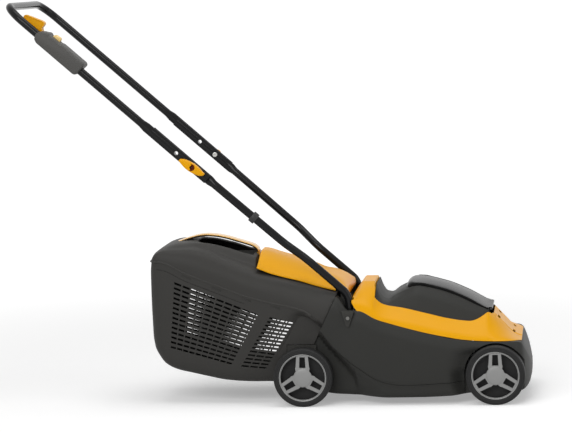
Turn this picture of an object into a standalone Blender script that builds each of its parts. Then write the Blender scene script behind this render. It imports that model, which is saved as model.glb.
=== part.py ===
"""Cordless rotary lawn mower with a rear catcher and a folding push handle.

Metres, +Z up, front towards +X. All places below are measured from the rear
axle's ground point; the root empty then puts the origin under the middle of
the mower's box.
"""

from math import atan2, cos, pi, radians, sin

import bmesh
import bpy
from mathutils import Matrix, Vector

# Driving dimensions
ROOT_X = 0.07329
GAP = 0.0003
WALL = 0.003

WHEELBASE = 0.456
WHEEL_RADIUS = 0.070
AXLE_RADIUS = 0.005
AXLE_BORE = 0.0053
HEIGHT_TRAVEL = 0.036
RIB_INNER_Y = 0.132
RIB_OUTER_Y = 0.140

BLADE_X = 0.245
BLADE_LENGTH = 0.320
CHAMBER_RADIUS = 0.168
CHAMBER_TOP = 0.085
BAY_FLOOR = 0.092
SHAFT_RADIUS = 0.006
SMALL_SIDES = 8
TRIM_SIDES = 20
WHEEL_SIDES = 24
MOTOR_SCREWS = 2

PIVOT = Vector((-0.244, 0.0, 0.579))
LEG_ANGLE = radians(138.2)
LEG_LENGTH = 0.581
HANDLE_HALF = 0.200
LOWER_TOP_Y = 0.1885
LOWER_LOW_Y = 0.138
TUBE_RADIUS = 0.0095
TUBE_WALL = 0.0012
TUBE_SIDES = 8
FLAT_TALL = 0.0117
FLAT_THIN = 0.0055
HANDLE_CORNER = 0.055
SOCKET_X = 0.112
BOLT_RADIUS = 0.003

LID_HINGE = Vector((0.4455, 0.0, 0.2140))
LID_ANGLE = radians(162.4)
LID_HALF = 0.081

FLAP_HINGE = Vector((0.098, 0.0, 0.262))
FLAP_HALF = 0.124

# Side view of the deck's upper edge, which the cowl and hood sit on: x, z
DECK_EDGE = (
    (0.020, 0.262), (0.083, 0.258), (0.097, 0.241), (0.108, 0.2265), (0.130, 0.2265),
    (0.182, 0.2025), (0.242, 0.1845), (0.302, 0.1685), (0.362, 0.1555), (0.422, 0.1485),
    (0.466, 0.1465), (0.500, 0.1462), (0.510, 0.1455), (0.518, 0.1415), (0.5235, 0.1310),
    (0.5285, 0.1190), (0.533, 0.1070), (0.5365, 0.0940), (0.540, 0.0800),
)
# Deck stations: x, half width, underside z
DECK = (
    (0.020, 0.168, 0.030), (0.083, 0.172, 0.0215), (0.097, 0.173, 0.021),
    (0.108, 0.174, 0.0205), (0.130, 0.175, 0.0195), (0.182, 0.177, 0.018),
    (0.242, 0.177, 0.0165), (0.302, 0.177, 0.018), (0.362, 0.176, 0.0205),
    (0.422, 0.174, 0.024), (0.466, 0.172, 0.027), (0.500, 0.166, 0.0275),
    (0.514, 0.157, 0.028), (0.522, 0.146, 0.030), (0.529, 0.125, 0.034),
    (0.536, 0.096, 0.043), (0.540, 0.060, 0.056),
)
RIM_INSET = 0.012
# The line where catcher and deck meet on the side: x, z
SEAM_LOW = (0.0255, 0.1435)
SEAM_TOP = (0.0825, 0.262)
# Rear wheel recess under the deck's swept crease: x, z
SWEEP = ((0.033, 0.165), (0.055, 0.138), (0.080, 0.110), (0.115, 0.077), (0.147, 0.052), (0.160, 0.010))

# Cowl stations: x, then half of the outer section as (y, z) from the rim to the middle
COWL = (
    (0.119, ((0.1580, 0.2450), (0.1500, 0.2500), (0.1300, 0.2535), (0.0900, 0.2560), (0.0550, 0.2570))),
    (0.130, ((0.1630, 0.2270), (0.1560, 0.2420), (0.1350, 0.2560), (0.0950, 0.2680), (0.0570, 0.2725))),
    (0.140, ((0.1635, 0.2225), (0.1570, 0.2370), (0.1350, 0.2550), (0.0950, 0.2730), (0.0570, 0.2840))),
    (0.168, ((0.1645, 0.2095), (0.1570, 0.2250), (0.1350, 0.2450), (0.0900, 0.2730), (0.0570, 0.2840))),
    (0.175, ((0.1650, 0.2060), (0.1580, 0.2180), (0.1350, 0.2360), (0.1000, 0.2600), (0.0570, 0.2700))),
    (0.192, ((0.1650, 0.1995), (0.1585, 0.2100), (0.1380, 0.2250), (0.1000, 0.2450), (0.0570, 0.2600))),
    (0.240, ((0.1650, 0.1855), (0.1590, 0.1960), (0.1400, 0.2120), (0.1000, 0.2380), (0.0570, 0.2600))),
    (0.301, ((0.1650, 0.1695), (0.1590, 0.1800), (0.1400, 0.1970), (0.1000, 0.2230), (0.0570, 0.2500))),
    (0.346, ((0.1645, 0.1600), (0.1590, 0.1700), (0.1400, 0.1860), (0.1000, 0.2120), (0.0570, 0.2400))),
    (0.376, ((0.1635, 0.1545), (0.1580, 0.1640), (0.1390, 0.1800), (0.1000, 0.2080), (0.0570, 0.2350))),
    (0.408, ((0.1620, 0.1510), (0.1560, 0.1600), (0.1370, 0.1760), (0.1000, 0.2040), (0.0650, 0.2250))),
    (0.437, ((0.1600, 0.1490), (0.1540, 0.1580), (0.1300, 0.1785), (0.0950, 0.2080), (0.0750, 0.2175))),
    (0.451, ((0.1590, 0.1485), (0.1520, 0.1570), (0.1250, 0.1770), (0.0900, 0.2010), (0.0700, 0.2080))),
    (0.475, ((0.1560, 0.1475), (0.1480, 0.1545), (0.1250, 0.1650), (0.0880, 0.1790), (0.0680, 0.1850))),
    (0.497, ((0.1500, 0.1468), (0.1420, 0.1512), (0.1180, 0.1560), (0.0840, 0.1610), (0.0640, 0.1640))),
    (0.512, ((0.1400, 0.1455), (0.1320, 0.1470), (0.1120, 0.1485), (0.0820, 0.1500), (0.0600, 0.1510))),
    (0.518, ((0.1300, 0.1432), (0.1230, 0.1440), (0.1050, 0.1450), (0.0800, 0.1456), (0.0560, 0.1468))),
)
NOSE_VENTS = ((0.464, 0.1905), (0.500, 0.1575))
# Plan of the cowl's opening, right half: x, y
OPENING = ((0.1715, 0.120), (0.400, 0.120), (0.425, 0.112), (0.439, 0.099), (0.4500, 0.083), (0.4520, 0.060))

# Hood stations: x, half width, then (y, z) from the side to the middle
HOOD = (
    (0.1730, 0.1190, ((0.1190, 0.2540), (0.0800, 0.2740), (0.0570, 0.2805))),
    (0.1800, 0.1190, ((0.1190, 0.2380), (0.0900, 0.2530), (0.0600, 0.2600))),
    (0.1900, 0.1190, ((0.1190, 0.2320), (0.0950, 0.2400), (0.0650, 0.2460))),
    (0.2030, 0.1190, ((0.1190, 0.2290), (0.1000, 0.2370), (0.0700, 0.2430))),
    (0.2200, 0.1190, ((0.1190, 0.2260), (0.1020, 0.2430), (0.0750, 0.2540))),
    (0.2465, 0.1190, ((0.1190, 0.2210), (0.1030, 0.2480), (0.0790, 0.2660))),
    (0.2700, 0.1190, ((0.1190, 0.2160), (0.1040, 0.2500), (0.0800, 0.2745))),
    (0.3000, 0.1190, ((0.1190, 0.2090), (0.1040, 0.2430), (0.0800, 0.2695))),
    (0.3300, 0.1190, ((0.1190, 0.2010), (0.1040, 0.2350), (0.0805, 0.2615))),
    (0.3760, 0.1190, ((0.1190, 0.1910), (0.1040, 0.2210), (0.0815, 0.2440))),
    (0.3990, 0.1190, ((0.1190, 0.1880), (0.1040, 0.2130), (0.0820, 0.2335))),
    (0.4240, 0.1110, ((0.1110, 0.1930), (0.0990, 0.2090), (0.0820, 0.2225))),
    (0.4370, 0.0980, ((0.0980, 0.2050), (0.0895, 0.2095), (0.0790, 0.2165))),
    (0.4390, 0.0950, ((0.0950, 0.2060), (0.0870, 0.2095), (0.0775, 0.2150))),
)
LID_TOP = (
    (0.2430, 0.2700), (0.2450, 0.2755), (0.2500, 0.2800), (0.2570, 0.2822), (0.2750, 0.2818), (0.2990, 0.2780),
    (0.3233, 0.2718), (0.3475, 0.2643), (0.3717, 0.2550), (0.3959, 0.2440), (0.4199, 0.2310), (0.4330, 0.2228),
    (0.4390, 0.2190),
)
LID_UNDER = (
    (0.4398, 0.2175), (0.4250, 0.2228), (0.3990, 0.2343), (0.3760, 0.2448), (0.3300, 0.2623), (0.3000, 0.2703),
    (0.2700, 0.2753), (0.2500, 0.2705), (0.2450, 0.2690),
)
# Plan of what the lid's rounded rear corners leave free: x, y
LID_CORNER = (
    (0.230, 0.100), (0.230, 0.034), (0.2432, 0.034), (0.2445, 0.052), (0.2480, 0.066), (0.2540, 0.076), (0.2640, 0.0815),
    (0.2640, 0.100),
)

# Catcher stations: x, bottom z, bottom half width, seam half width, seam z, shoulder (y, z), top z
CATCHER = (
    (-0.3672, 0.180, 0.105, 0.112, 0.235, (0.110, 0.262), 0.270),
    (-0.3655, 0.148, 0.115, 0.124, 0.290, (0.120, 0.330), 0.345),
    (-0.3620, 0.133, 0.120, 0.130, 0.335, (0.125, 0.354), 0.360),
    (-0.3540, 0.119, 0.126, 0.136, 0.350, (0.128, 0.365), 0.369),
    (-0.3385, 0.098, 0.130, 0.139, 0.352, (0.122, 0.373), 0.377),
    (-0.3110, 0.083, 0.131, 0.140, 0.348, (0.107, 0.3765), 0.385),
    (-0.2700, 0.073, 0.132, 0.141, 0.338, (0.097, 0.3770), 0.387),
    (-0.2360, 0.065, 0.132, 0.142, 0.326, (0.092, 0.3710), 0.385),
    (-0.1920, 0.056, 0.133, 0.143, 0.311, (0.090, 0.3545), 0.3765),
    (-0.1480, 0.052, 0.134, 0.145, 0.293, (0.090, 0.3370), 0.3625),
    (-0.1165, 0.051, 0.134, 0.147, 0.281, (0.093, 0.3245), 0.3505),
    (-0.1140, 0.051, 0.134, 0.147, 0.280, (0.108, 0.3215), 0.3219),
    (-0.0600, 0.050, 0.134, 0.151, 0.260, (0.114, 0.3070), 0.3074),
    (-0.0060, 0.050, 0.134, 0.157, 0.241, (0.120, 0.2925), 0.2929),
    (0.0360, 0.050, 0.134, 0.162, 0.222, (0.127, 0.2790), 0.2794),
    (0.0700, 0.050, 0.134, 0.166, 0.208, (0.135, 0.2690), 0.2694),
    (0.0900, 0.050, 0.134, 0.168, 0.200, (0.138, 0.2640), 0.2644),
)
SHELL_SEAM = (
    (-0.400, 0.3465), (-0.345, 0.3450), (-0.2780, 0.3158), (-0.2050, 0.2868), (-0.1340, 0.2598),
    (-0.0640, 0.2415), (-0.0305, 0.2378), (0.0035, 0.2255), (0.0280, 0.2090), (0.120, 0.1560),
)
CATCHER_NOTCH_X = -0.0405
MOUTH_LOW = 0.1050

# Flap, side view of its crown, of its front below the hinge and of its side edge: x, z
FLAP_CROWN = (
    (-0.1100, 0.3290), (-0.1085, 0.3440), (-0.1060, 0.3580), (-0.1030, 0.3637), (-0.0630, 0.3533),
    (-0.0140, 0.3378), (0.0100, 0.3289), (0.0450, 0.3120), (0.0600, 0.3058), (0.0740, 0.3000), (0.0910, 0.2905),
    (0.1000, 0.2820), (0.1055, 0.2740), (0.1080, 0.2640),
)
FLAP_FRONT = ((0.1075, 0.2565), (0.1040, 0.2515), (0.0960, 0.2540), (0.0860, 0.2650))
FLAP_EDGE = (
    (0.0800, 0.2700), (0.0655, 0.2735), (0.0299, 0.2832), (-0.0058, 0.2946), (-0.0415, 0.3036),
    (-0.0773, 0.3138), (-0.1040, 0.3245),
)
FLAP_CROWN_HALF = 0.026
FLAP_STEPS = (0.026, 0.050, 0.072, 0.092, 0.108, 0.1175)
FLAP_PLATE = (
    (0.1045, 0.2725), (0.1066, 0.2640), (0.1062, 0.2570), (0.1035, 0.2530), (0.0960, 0.2550), (0.0870, 0.2655),
    (0.0770, 0.2735),
)

# Catcher handle strap, side view of its middle line: x, z
STRAP = (
    (-0.3300, 0.3760), (-0.3063, 0.3838), (-0.2813, 0.3917), (-0.2565, 0.3969), (-0.2441, 0.3977),
    (-0.2195, 0.3957), (-0.1951, 0.3909), (-0.1707, 0.3836), (-0.1463, 0.3760), (-0.1280, 0.3690),
    (-0.1185, 0.3600), (-0.1160, 0.3470),
)
STRAP_WIDTH = 0.044
STRAP_THICK = 0.006
POCKET = (-0.262, -0.1235, 0.060, 0.330)

PALETTE = {
    "yellow_gloss": ((0.860, 0.400, 0.012), 0.28, 0.0),
    "dark_plastic": ((0.052, 0.050, 0.047), 0.55, 0.0),
    "lid_gloss": ((0.075, 0.075, 0.073), 0.22, 0.0),
    "black_paint": ((0.012, 0.012, 0.013), 0.22, 0.0),
    "tyre_plastic": ((0.022, 0.022, 0.022), 0.70, 0.0),
    "trim_grey": ((0.270, 0.270, 0.270), 0.40, 0.0),
    "switch_grey": ((0.095, 0.093, 0.088), 0.55, 0.0),
    "pale_yellow": ((0.880, 0.620, 0.250), 0.35, 0.0),
    "black_plastic": ((0.015, 0.015, 0.015), 0.50, 0.0),
    "steel": ((0.560, 0.560, 0.570), 0.30, 1.0),
    "zinc": ((0.620, 0.600, 0.560), 0.40, 1.0),
    "blade_steel": ((0.180, 0.180, 0.190), 0.45, 1.0),
    "motor_can": ((0.120, 0.120, 0.130), 0.40, 0.8),
    "brass": ((0.700, 0.480, 0.180), 0.35, 1.0),
    "board_green": ((0.020, 0.140, 0.050), 0.45, 0.0),
    "key_orange": ((0.800, 0.130, 0.010), 0.40, 0.0),
}

materials = {}
root = None


def clear_scene():
    for obj in list(bpy.data.objects):
        bpy.data.objects.remove(obj, do_unlink=True)


def make_material(name):
    colour, roughness, metallic = PALETTE[name]
    material = bpy.data.materials.new(name)
    material.use_nodes = True
    shader = material.node_tree.nodes["Principled BSDF"]
    shader.inputs["Base Color"].default_value = (*colour, 1.0)
    shader.inputs["Roughness"].default_value = roughness
    shader.inputs["Metallic"].default_value = metallic
    material.diffuse_color = (*colour, 1.0)
    return material


def place(name, bm, material=None, origin=(0.0, 0.0, 0.0), smooth=35.0):
    """Turn a bmesh into a named object whose own origin is at the given place."""
    bmesh.ops.recalc_face_normals(bm, faces=bm.faces)
    bmesh.ops.translate(bm, verts=bm.verts, vec=-Vector(origin))
    mesh = bpy.data.meshes.new(name)
    bm.to_mesh(mesh)
    bm.free()
    mesh.shade_smooth()
    mesh.set_sharp_from_angle(angle=radians(smooth))
    obj = bpy.data.objects.new(name, mesh)
    obj.location = origin
    obj.parent = root
    bpy.context.scene.collection.objects.link(obj)
    if material:
        mesh.materials.append(materials[material])
    return obj


def helper(name, bm):
    """A cutting or joining shape that isn't part of the mower."""
    obj = place(name, bm)
    obj.hide_render = True
    obj.display_type = "WIRE"
    return obj


def boolean(obj, operation, tool, label, solver="EXACT"):
    modifier = obj.modifiers.new(label, "BOOLEAN")
    modifier.operation = operation
    modifier.solver = solver
    modifier.object = tool


def cut_with(obj, tool, label):
    boolean(obj, "DIFFERENCE", tool, label)


def cut(obj, bm, label):
    boolean(obj, "DIFFERENCE", helper(f"{obj.name}_{label}", bm), label)


def join(obj, bm, label):
    boolean(obj, "UNION", helper(f"{obj.name}_{label}", bm), label)


def keep(obj, bm, label):
    boolean(obj, "INTERSECT", helper(f"{obj.name}_{label}", bm), label)


def skin(rings, closed=False):
    """Closed solid through rings that have the same number of points."""
    bm = bmesh.new()
    loops = [[bm.verts.new(point) for point in ring] for ring in rings]
    count = len(loops[0])
    pairs = list(zip(loops, loops[1:]))
    if closed:
        pairs.append((loops[-1], loops[0]))
    for first, second in pairs:
        for i in range(count):
            j = (i + 1) % count
            bm.faces.new((first[i], first[j], second[j], second[i]))
    if not closed:
        bm.faces.new(list(reversed(loops[0])))
        bm.faces.new(loops[-1])
    return bm


def merged(*shapes):
    """Several separate shapes in one bmesh, for one cut or one join."""
    whole = bmesh.new()
    for shape in shapes:
        mesh = bpy.data.meshes.new("piece")
        bmesh.ops.recalc_face_normals(shape, faces=shape.faces)
        shape.to_mesh(mesh)
        shape.free()
        whole.from_mesh(mesh)
        bpy.data.meshes.remove(mesh)
    return whole


def side_prism(outline, low_y, high_y):
    """Outline of (x, z) points, drawn out along Y."""
    return skin([[(x, y, z) for x, z in outline] for y in (low_y, high_y)])


def plan_prism(outline, low_z, high_z):
    """Outline of (x, y) points, drawn out along Z."""
    return skin([[(x, y, z) for x, y in outline] for z in (low_z, high_z)])


def box(low, high):
    outline = ((low[0], low[1]), (high[0], low[1]), (high[0], high[1]), (low[0], high[1]))
    return plan_prism(outline, low[2], high[2])


def turned(profile, centre, axis="Y", segments=24, phase=0.0):
    """Solid of revolution. The profile is (radius, distance along the axis); without a
    point on the axis it is taken as a closed loop, which makes a ring."""
    bm = bmesh.new()
    rows = []
    for radius, along in profile:
        count = 1 if radius < 1e-7 else segments
        row = []
        for k in range(count):
            angle = 2 * pi * (k + phase) / segments
            a, b = radius * cos(angle), radius * sin(angle)
            local = {"X": (along, a, b), "Y": (a, along, b), "Z": (a, b, along)}[axis]
            row.append(bm.verts.new(Vector(local) + Vector(centre)))
        rows.append(row)
    pairs = list(zip(rows, rows[1:]))
    if len(rows[0]) > 1 and len(rows[-1]) > 1:
        pairs.append((rows[-1], rows[0]))
    for first, second in pairs:
        for k in range(segments):
            n = (k + 1) % segments
            corners = [
                first[k % len(first)], first[n % len(first)], second[n % len(second)], second[k % len(second)],
            ]
            unique = list(dict.fromkeys(corners))
            if len(unique) > 2:
                bm.faces.new(unique)
    return bm


def rod(radius, low, high, centre, axis="Y", segments=16, phase=0.0):
    profile = ((0.0, low), (radius, low), (radius, high), (0.0, high))
    return turned(profile, centre, axis, segments, phase)


def chamfered_rod(radius, low, high, chamfer, centre, axis="Y", segments=16):
    profile = (
        (0.0, low), (radius - chamfer, low), (radius, low + chamfer),
        (radius, high - chamfer), (radius - chamfer, high), (0.0, high),
    )
    return turned(profile, centre, axis, segments)


def read_line(line, x):
    """Height of a polyline of (x, z) points at x."""
    for (x0, z0), (x1, z1) in zip(line, line[1:]):
        if x0 <= x <= x1:
            return z0 + (z1 - z0) * (x - x0) / (x1 - x0)
    return line[0][1] if x < line[0][0] else line[-1][1]


def mirrored(half):
    """Full ring of (y, z) from a half that starts and ends on the middle plane."""
    return list(half) + [(-y, z) for y, z in reversed(half[1:-1])]


def on_leg(along, up, y):
    """Point in the handle leg's own frame: along the leg from the fold axis, and above it."""
    along_dir = Vector((cos(LEG_ANGLE), 0.0, sin(LEG_ANGLE)))
    up_dir = Vector((sin(LEG_ANGLE), 0.0, -cos(LEG_ANGLE)))
    return PIVOT + along_dir * along + up_dir * up + Vector((0.0, y, 0.0))


def in_lid(back, up, y):
    """Point in the lid's frame: back along the lid from its hinge, and square to it."""
    back_dir = Vector((cos(LID_ANGLE), 0.0, sin(LID_ANGLE)))
    up_dir = Vector((sin(LID_ANGLE), 0.0, -cos(LID_ANGLE)))
    return LID_HINGE + back_dir * back + up_dir * up + Vector((0.0, y, 0.0))


def frame_prism(frame, outline, low_y, high_y):
    """Outline in a tilted frame such as on_leg or in_lid, drawn out along Y."""
    return skin([[frame(a, b, y) for a, b in outline] for y in (low_y, high_y)])


def frame_box(frame, along, up, across):
    outline = ((along[0], up[0]), (along[1], up[0]), (along[1], up[1]), (along[0], up[1]))
    return frame_prism(frame, outline, across[0], across[1])


def arc_corner(before, corner, after, radius, steps):
    """Points of the arc that rounds one corner of a path."""
    a = (Vector(before) - Vector(corner)).normalized()
    b = (Vector(after) - Vector(corner)).normalized()
    half = a.angle(b) / 2
    reach = radius / (sin(half) / cos(half))
    centre = Vector(corner) + (a + b).normalized() * (radius / sin(half))
    start = Vector(corner) + a * reach - centre
    end = Vector(corner) + b * reach - centre
    swing = start.angle(end)
    axis = start.cross(end).normalized()
    return [centre + Matrix.Rotation(swing * k / steps, 3, axis) @ start for k in range(steps + 1)]


def sweep(path, sizes, first_side, segments=TUBE_SIDES):
    """Rings along a path. Sizes are (across, along first_side) half sizes of each ring."""
    points = [Vector(p) for p in path]
    side = Vector(first_side).normalized()
    rings = []
    for i, point in enumerate(points):
        before = points[i] - points[i - 1] if i else points[1] - points[0]
        after = points[i + 1] - points[i] if i + 1 < len(points) else before
        tangent = (before.normalized() + after.normalized()).normalized()
        side = (side - tangent * side.dot(tangent)).normalized()
        up = tangent.cross(side)
        tall, thin = sizes[i]
        rings.append([
            point + up * tall * cos(2 * pi * k / segments) + side * thin * sin(2 * pi * k / segments)
            for k in range(segments)
        ])
    return rings


def hollow_tube(path, sizes, first_side):
    """Open-ended tube: the outer skin out, the inner skin back."""
    outer = sweep(path, sizes, first_side)
    inner = sweep(path, [(a - TUBE_WALL, b - TUBE_WALL) for a, b in sizes], first_side)
    return skin(outer + list(reversed(inner)), closed=True)


def deck_ring(x, half, low, top):
    middle = (low + top) / 2
    flare = min(0.028, 0.3 * (top - low))
    shoulder = min(0.018, 0.3 * (top - low))
    return [
        (x, y, z)
        for y, z in mirrored((
            (0.0, low), (half - 0.012, low), (half - 0.003, low + 0.006), (half, low + flare),
            (half + 0.001, middle), (half - 0.0035, top - shoulder), (half - RIM_INSET, top), (0.0, top),
        ))
    ]


def make_deck():
    rings = [deck_ring(x, half, low, read_line(DECK_EDGE, x)) for x, half, low in DECK]
    deck = place("deck", skin(rings), "dark_plastic")
    rear = ((-0.05, -0.01), (0.0205, -0.01), (0.0205, 0.120), SEAM_LOW, SEAM_TOP, (0.0825, 0.30), (-0.05, 0.30))
    cut(deck, side_prism(rear, -0.25, 0.25), "rear_seam")
    sweep_outline = ((-0.02, -0.01), (-0.02, SWEEP[0][1]), *SWEEP)
    front = turned_well(WHEELBASE)
    wells = []
    for sign in (-1, 1):
        span = sorted((sign * RIB_OUTER_Y, sign * 0.25))
        wells.append(side_prism(sweep_outline, *span))
        wells.append(side_prism(front, *span))
    cut(deck, merged(*wells), "wheel_wells")
    cheeks = []
    for sign in (-1, 1):
        span = sorted((sign * (RIB_INNER_Y - 0.006), sign * RIB_OUTER_Y))
        outline = ((-0.0395, 0.034), (0.095, 0.024), (0.095, 0.1428), (-0.0395, 0.1428))
        cheeks.append(side_prism(outline, *span))
    join(deck, merged(*cheeks), "cheeks")
    cut(deck, rod(CHAMBER_RADIUS, -0.02, CHAMBER_TOP, (BLADE_X, 0, 0), "Z", 28, 0.5), "chamber")
    chute = (
        (0.205, -0.03), (0.205, CHAMBER_TOP - 0.001), (0.168, CHAMBER_TOP - 0.001), (0.075, 0.215), (-0.07, 0.215),
        (-0.07, MOUTH_LOW), (0.040, MOUTH_LOW), (0.094, 0.031), (0.094, -0.03),
    )
    cut(deck, side_prism(chute, -0.118, 0.118), "chute")
    under_ramp = ((-0.05, -0.04), (0.084, -0.04), (0.084, 0.034), (0.036, 0.099), (-0.05, 0.099))
    cut(deck, side_prism(under_ramp, -0.1165, 0.1165), "axle_bay")
    nose = ((0.434, -0.02), (0.519, -0.02), (0.519, 0.110), (0.505, 0.128), (0.444, 0.128), (0.434, 0.120))
    cut(deck, side_prism(nose, -RIB_INNER_Y, RIB_INNER_Y), "nose_hollow")
    cut(deck, box((0.510, -0.098, 0.046), (0.530, 0.098, 0.100)), "nose_front_hollow")
    bay = ((0.186, 0.158), (0.186, -0.158), (0.405, -0.156), (0.430, -0.125), (0.430, 0.125), (0.405, 0.156))
    cut(deck, plan_prism(bay, BAY_FLOOR, 0.40), "motor_bay")
    above_ramp = ((0.1890, 0.0930), (0.1685, 0.0930), (0.1250, 0.1540), (0.1250, 0.40), (0.1890, 0.40))
    cut(deck, side_prism(above_ramp, -0.1565, 0.1565), "rear_bay")
    cut(deck, box((0.05, -0.1215, 0.240), (0.1175, 0.1215, 0.40)), "flap_recess")
    ears = []
    for sign in (-1, 1):
        span = sorted((sign * 0.1125, sign * 0.1195))
        outline = ((0.089, 0.236), (0.107, 0.236), (0.105, 0.268), (0.098, 0.271), (0.091, 0.268))
        ears.append(side_prism(outline, *span))
    join(deck, merged(*ears), "flap_ears")
    cut(deck, rod(0.0027, -0.13, 0.13, FLAP_HINGE, "Y", 12), "flap_pin_hole")
    bosses = []
    for sign in (-1, 1):
        for x in (0.200, 0.360):
            top = read_line(DECK_EDGE, x) - GAP
            bosses.append(rod(0.008, BAY_FLOOR - 0.002, top, (x, sign * 0.105, 0), "Z", 10))
    join(deck, merged(*bosses), "cover_posts")
    holes = []
    for sign in (-1, 1):
        for x in (0.200, 0.360):
            top = read_line(DECK_EDGE, x)
            profile = (
                (0.0, 0.07), (0.0055, 0.07), (0.0055, top - 0.012), (0.0024, top - 0.012), (0.0024, top + 0.01),
                (0.0, top + 0.01),
            )
            holes.append(turned(profile, (x, sign * 0.105, 0), "Z", SMALL_SIDES))
    cut(deck, merged(*holes), "cover_screw_holes")
    sockets = []
    for sign in (-1, 1):
        sockets.append(rod(TUBE_RADIUS + GAP, 0.187, 0.40, (SOCKET_X, sign * LOWER_LOW_Y, 0), "Z", 14))
    cut(deck, merged(*sockets), "handle_sockets")
    v_bosses = []
    for sign in (-1, 1):
        outline = ((0.097, 0.2255), (0.125, 0.2255), (0.113, 0.190), (0.107, 0.190))
        v_bosses.append(side_prism(outline, *sorted((sign * 0.160, sign * 0.1785))))
    join(deck, merged(*v_bosses), "v_bosses")
    cut(deck, rod(0.0024, -0.20, 0.20, (SOCKET_X - 0.001, 0, 0.211), "Y", 12), "handle_screw_holes")
    slots = []
    for x in (0.0, WHEELBASE):
        top = WHEEL_RADIUS + AXLE_RADIUS + GAP
        low = WHEEL_RADIUS - HEIGHT_TRAVEL - AXLE_RADIUS - GAP
        slots.append(box((x - 0.0054, -0.16, low), (x + 0.0054, 0.16, top)))
    cut(deck, merged(*slots), "axle_slots")
    motor_holes = [rod(0.0095, 0.06, 0.12, (BLADE_X, 0, 0), "Z", 20)]
    for k in range(MOTOR_SCREWS):
        x, y = motor_screw_place(k)
        motor_holes.append(rod(0.0024, 0.06, 0.12, (x, y, 0), "Z", 12))
    cut(deck, merged(*motor_holes), "motor_holes")
    return deck


def turned_well(x):
    """Side outline of a wheel recess, open downwards so that the wheel can be lowered."""
    radius = WHEEL_RADIUS + 0.0045
    arch = [
        (x + radius * cos(radians(a)), WHEEL_RADIUS + radius * sin(radians(a)))
        for a in range(0, 181, 15)
    ]
    return arch + [(x - radius, -0.05), (x + radius, -0.05)]


def motor_screw_place(k):
    angle = 2 * pi * k / MOTOR_SCREWS + pi / 2
    return BLADE_X + 0.030 * cos(angle), 0.030 * sin(angle)


def inset_half(half, amount):
    """Move a half section inwards: down by the wall, and in by the wall."""
    return [(max(y - amount, 0.0), z - amount) for y, z in half]


def cowl_ring(x, half, drop, floor):
    points = [(0.0, floor), (half[0][0] - drop, floor)]
    points += inset_half(half, drop)
    points.append((0.0, half[-1][1] - drop))
    if drop:
        points[2:] = [(y, max(z, floor + 0.0004)) for y, z in points[2:]]
    else:
        points[2] = (half[0][0], half[0][1] + 0.0008)
    return [(x, y, z) for y, z in mirrored(points)]


def make_cowl():
    outer = []
    inner = []
    for index, (x, half) in enumerate(COWL):
        floor = max(half[0][1], read_line(DECK_EDGE, x) + GAP)
        outer.append(cowl_ring(x, half, 0.0, floor))
        shift = WALL if index == 0 else (-WALL if index == len(COWL) - 1 else 0.0)
        inner.append(cowl_ring(x + shift, half, WALL, floor - 0.002))
    cowl = place("motor_cowl", skin(outer), "yellow_gloss")
    cut(cowl, skin(inner), "inside")
    plan = list(OPENING) + [(x, -y) for x, y in reversed(OPENING)]
    cut(cowl, plan_prism(plan, 0.10, 0.35), "opening")
    cut(cowl, box((0.100, -0.1225, 0.10), (0.1180 + 0.004, 0.1225, 0.2535)), "flap_clearance")
    vents = []
    for x, z in NOSE_VENTS:
        for sign in (-1, 1):
            near, far = sorted((sign * 0.030, sign * 0.058))
            vents.append(box((x - 0.003, near, z - 0.012), (x + 0.003, far, z + 0.010)))
    cut(cowl, merged(*vents), "nose_vents")
    notches = [rod(0.0115, 0.20, 0.30, (SOCKET_X, sign * LOWER_LOW_Y, 0), "Z", 12, 0.5) for sign in (-1, 1)]
    cut(cowl, merged(*notches), "handle_notches")
    return cowl


def hood_ring(x, half_width, tops, drop, floor):
    points = [(0.0, floor), (half_width - drop, floor)]
    points += inset_half(tops, drop)
    points.append((0.0, tops[-1][1] - drop))
    return [(x, y, z) for y, z in mirrored(points)]


def make_hood():
    outer = []
    inner = []
    for index, (x, half, tops) in enumerate(HOOD):
        floor = read_line(DECK_EDGE, x) + GAP
        outer.append(hood_ring(x, half, tops, 0.0, floor))
        shift = WALL if index == 0 else (-WALL if index == len(HOOD) - 1 else 0.0)
        inner.append(hood_ring(x + shift, half, tops, WALL, floor - 0.002))
    hood = place("battery_hood", skin(outer), "dark_plastic")
    cut(hood, skin(inner), "inside")
    ears = []
    for sign in (-1, 1):
        span = sorted((sign * 0.0705, sign * 0.0765))
        outline = ((0.434, 0.200), (0.4475, 0.206), (0.4490, 0.2125), (0.4470, 0.2166), (0.434, 0.2168))
        ears.append(side_prism(outline, *span))
    join(hood, merged(*ears), "hinge_ears")
    cut(hood, rod(0.0022, -0.09, 0.09, LID_HINGE, "Y", 12), "pin_hole")
    cut(hood, frame_box(in_lid, (0.0210, 0.1630), (-0.030, 0.040), (-0.0470, 0.0470)), "battery_opening")
    cut(hood, frame_box(in_lid, (0.1005, 0.1345), (-0.030, 0.040), (0.0520, 0.0780)), "key_opening")
    posts = []
    screw_holes = []
    for sign in (-1, 1):
        for x in (0.200, 0.360):
            base = read_line(DECK_EDGE, x) + GAP
            near, far = sorted((sign * 0.098, sign * 0.1175))
            posts.append(box((x - 0.007, near, base + 0.0005), (x + 0.007, far, base + 0.018)))
            screw_holes.append(rod(0.0024, base - 0.01, base + 0.014, (x, sign * 0.105, 0), "Z", SMALL_SIDES))
    join(hood, merged(*posts), "screw_blocks")
    cut(hood, merged(*screw_holes), "screw_holes")
    return hood


def make_cover_screws():
    for index, (x, sign) in enumerate(((0.200, -1), (0.200, 1), (0.360, -1), (0.360, 1))):
        top = read_line(DECK_EDGE, x)
        profile = (
            (0.0, top - 0.0160), (0.0048, top - 0.0160), (0.0048, top - 0.0125),
            (0.0020, top - 0.0125), (0.0020, top + 0.0130), (0.0, top + 0.0130),
        )
        place(f"cover_screw_{index + 1}", turned(profile, (x, sign * 0.105, 0), "Z", SMALL_SIDES), "zinc")


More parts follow.
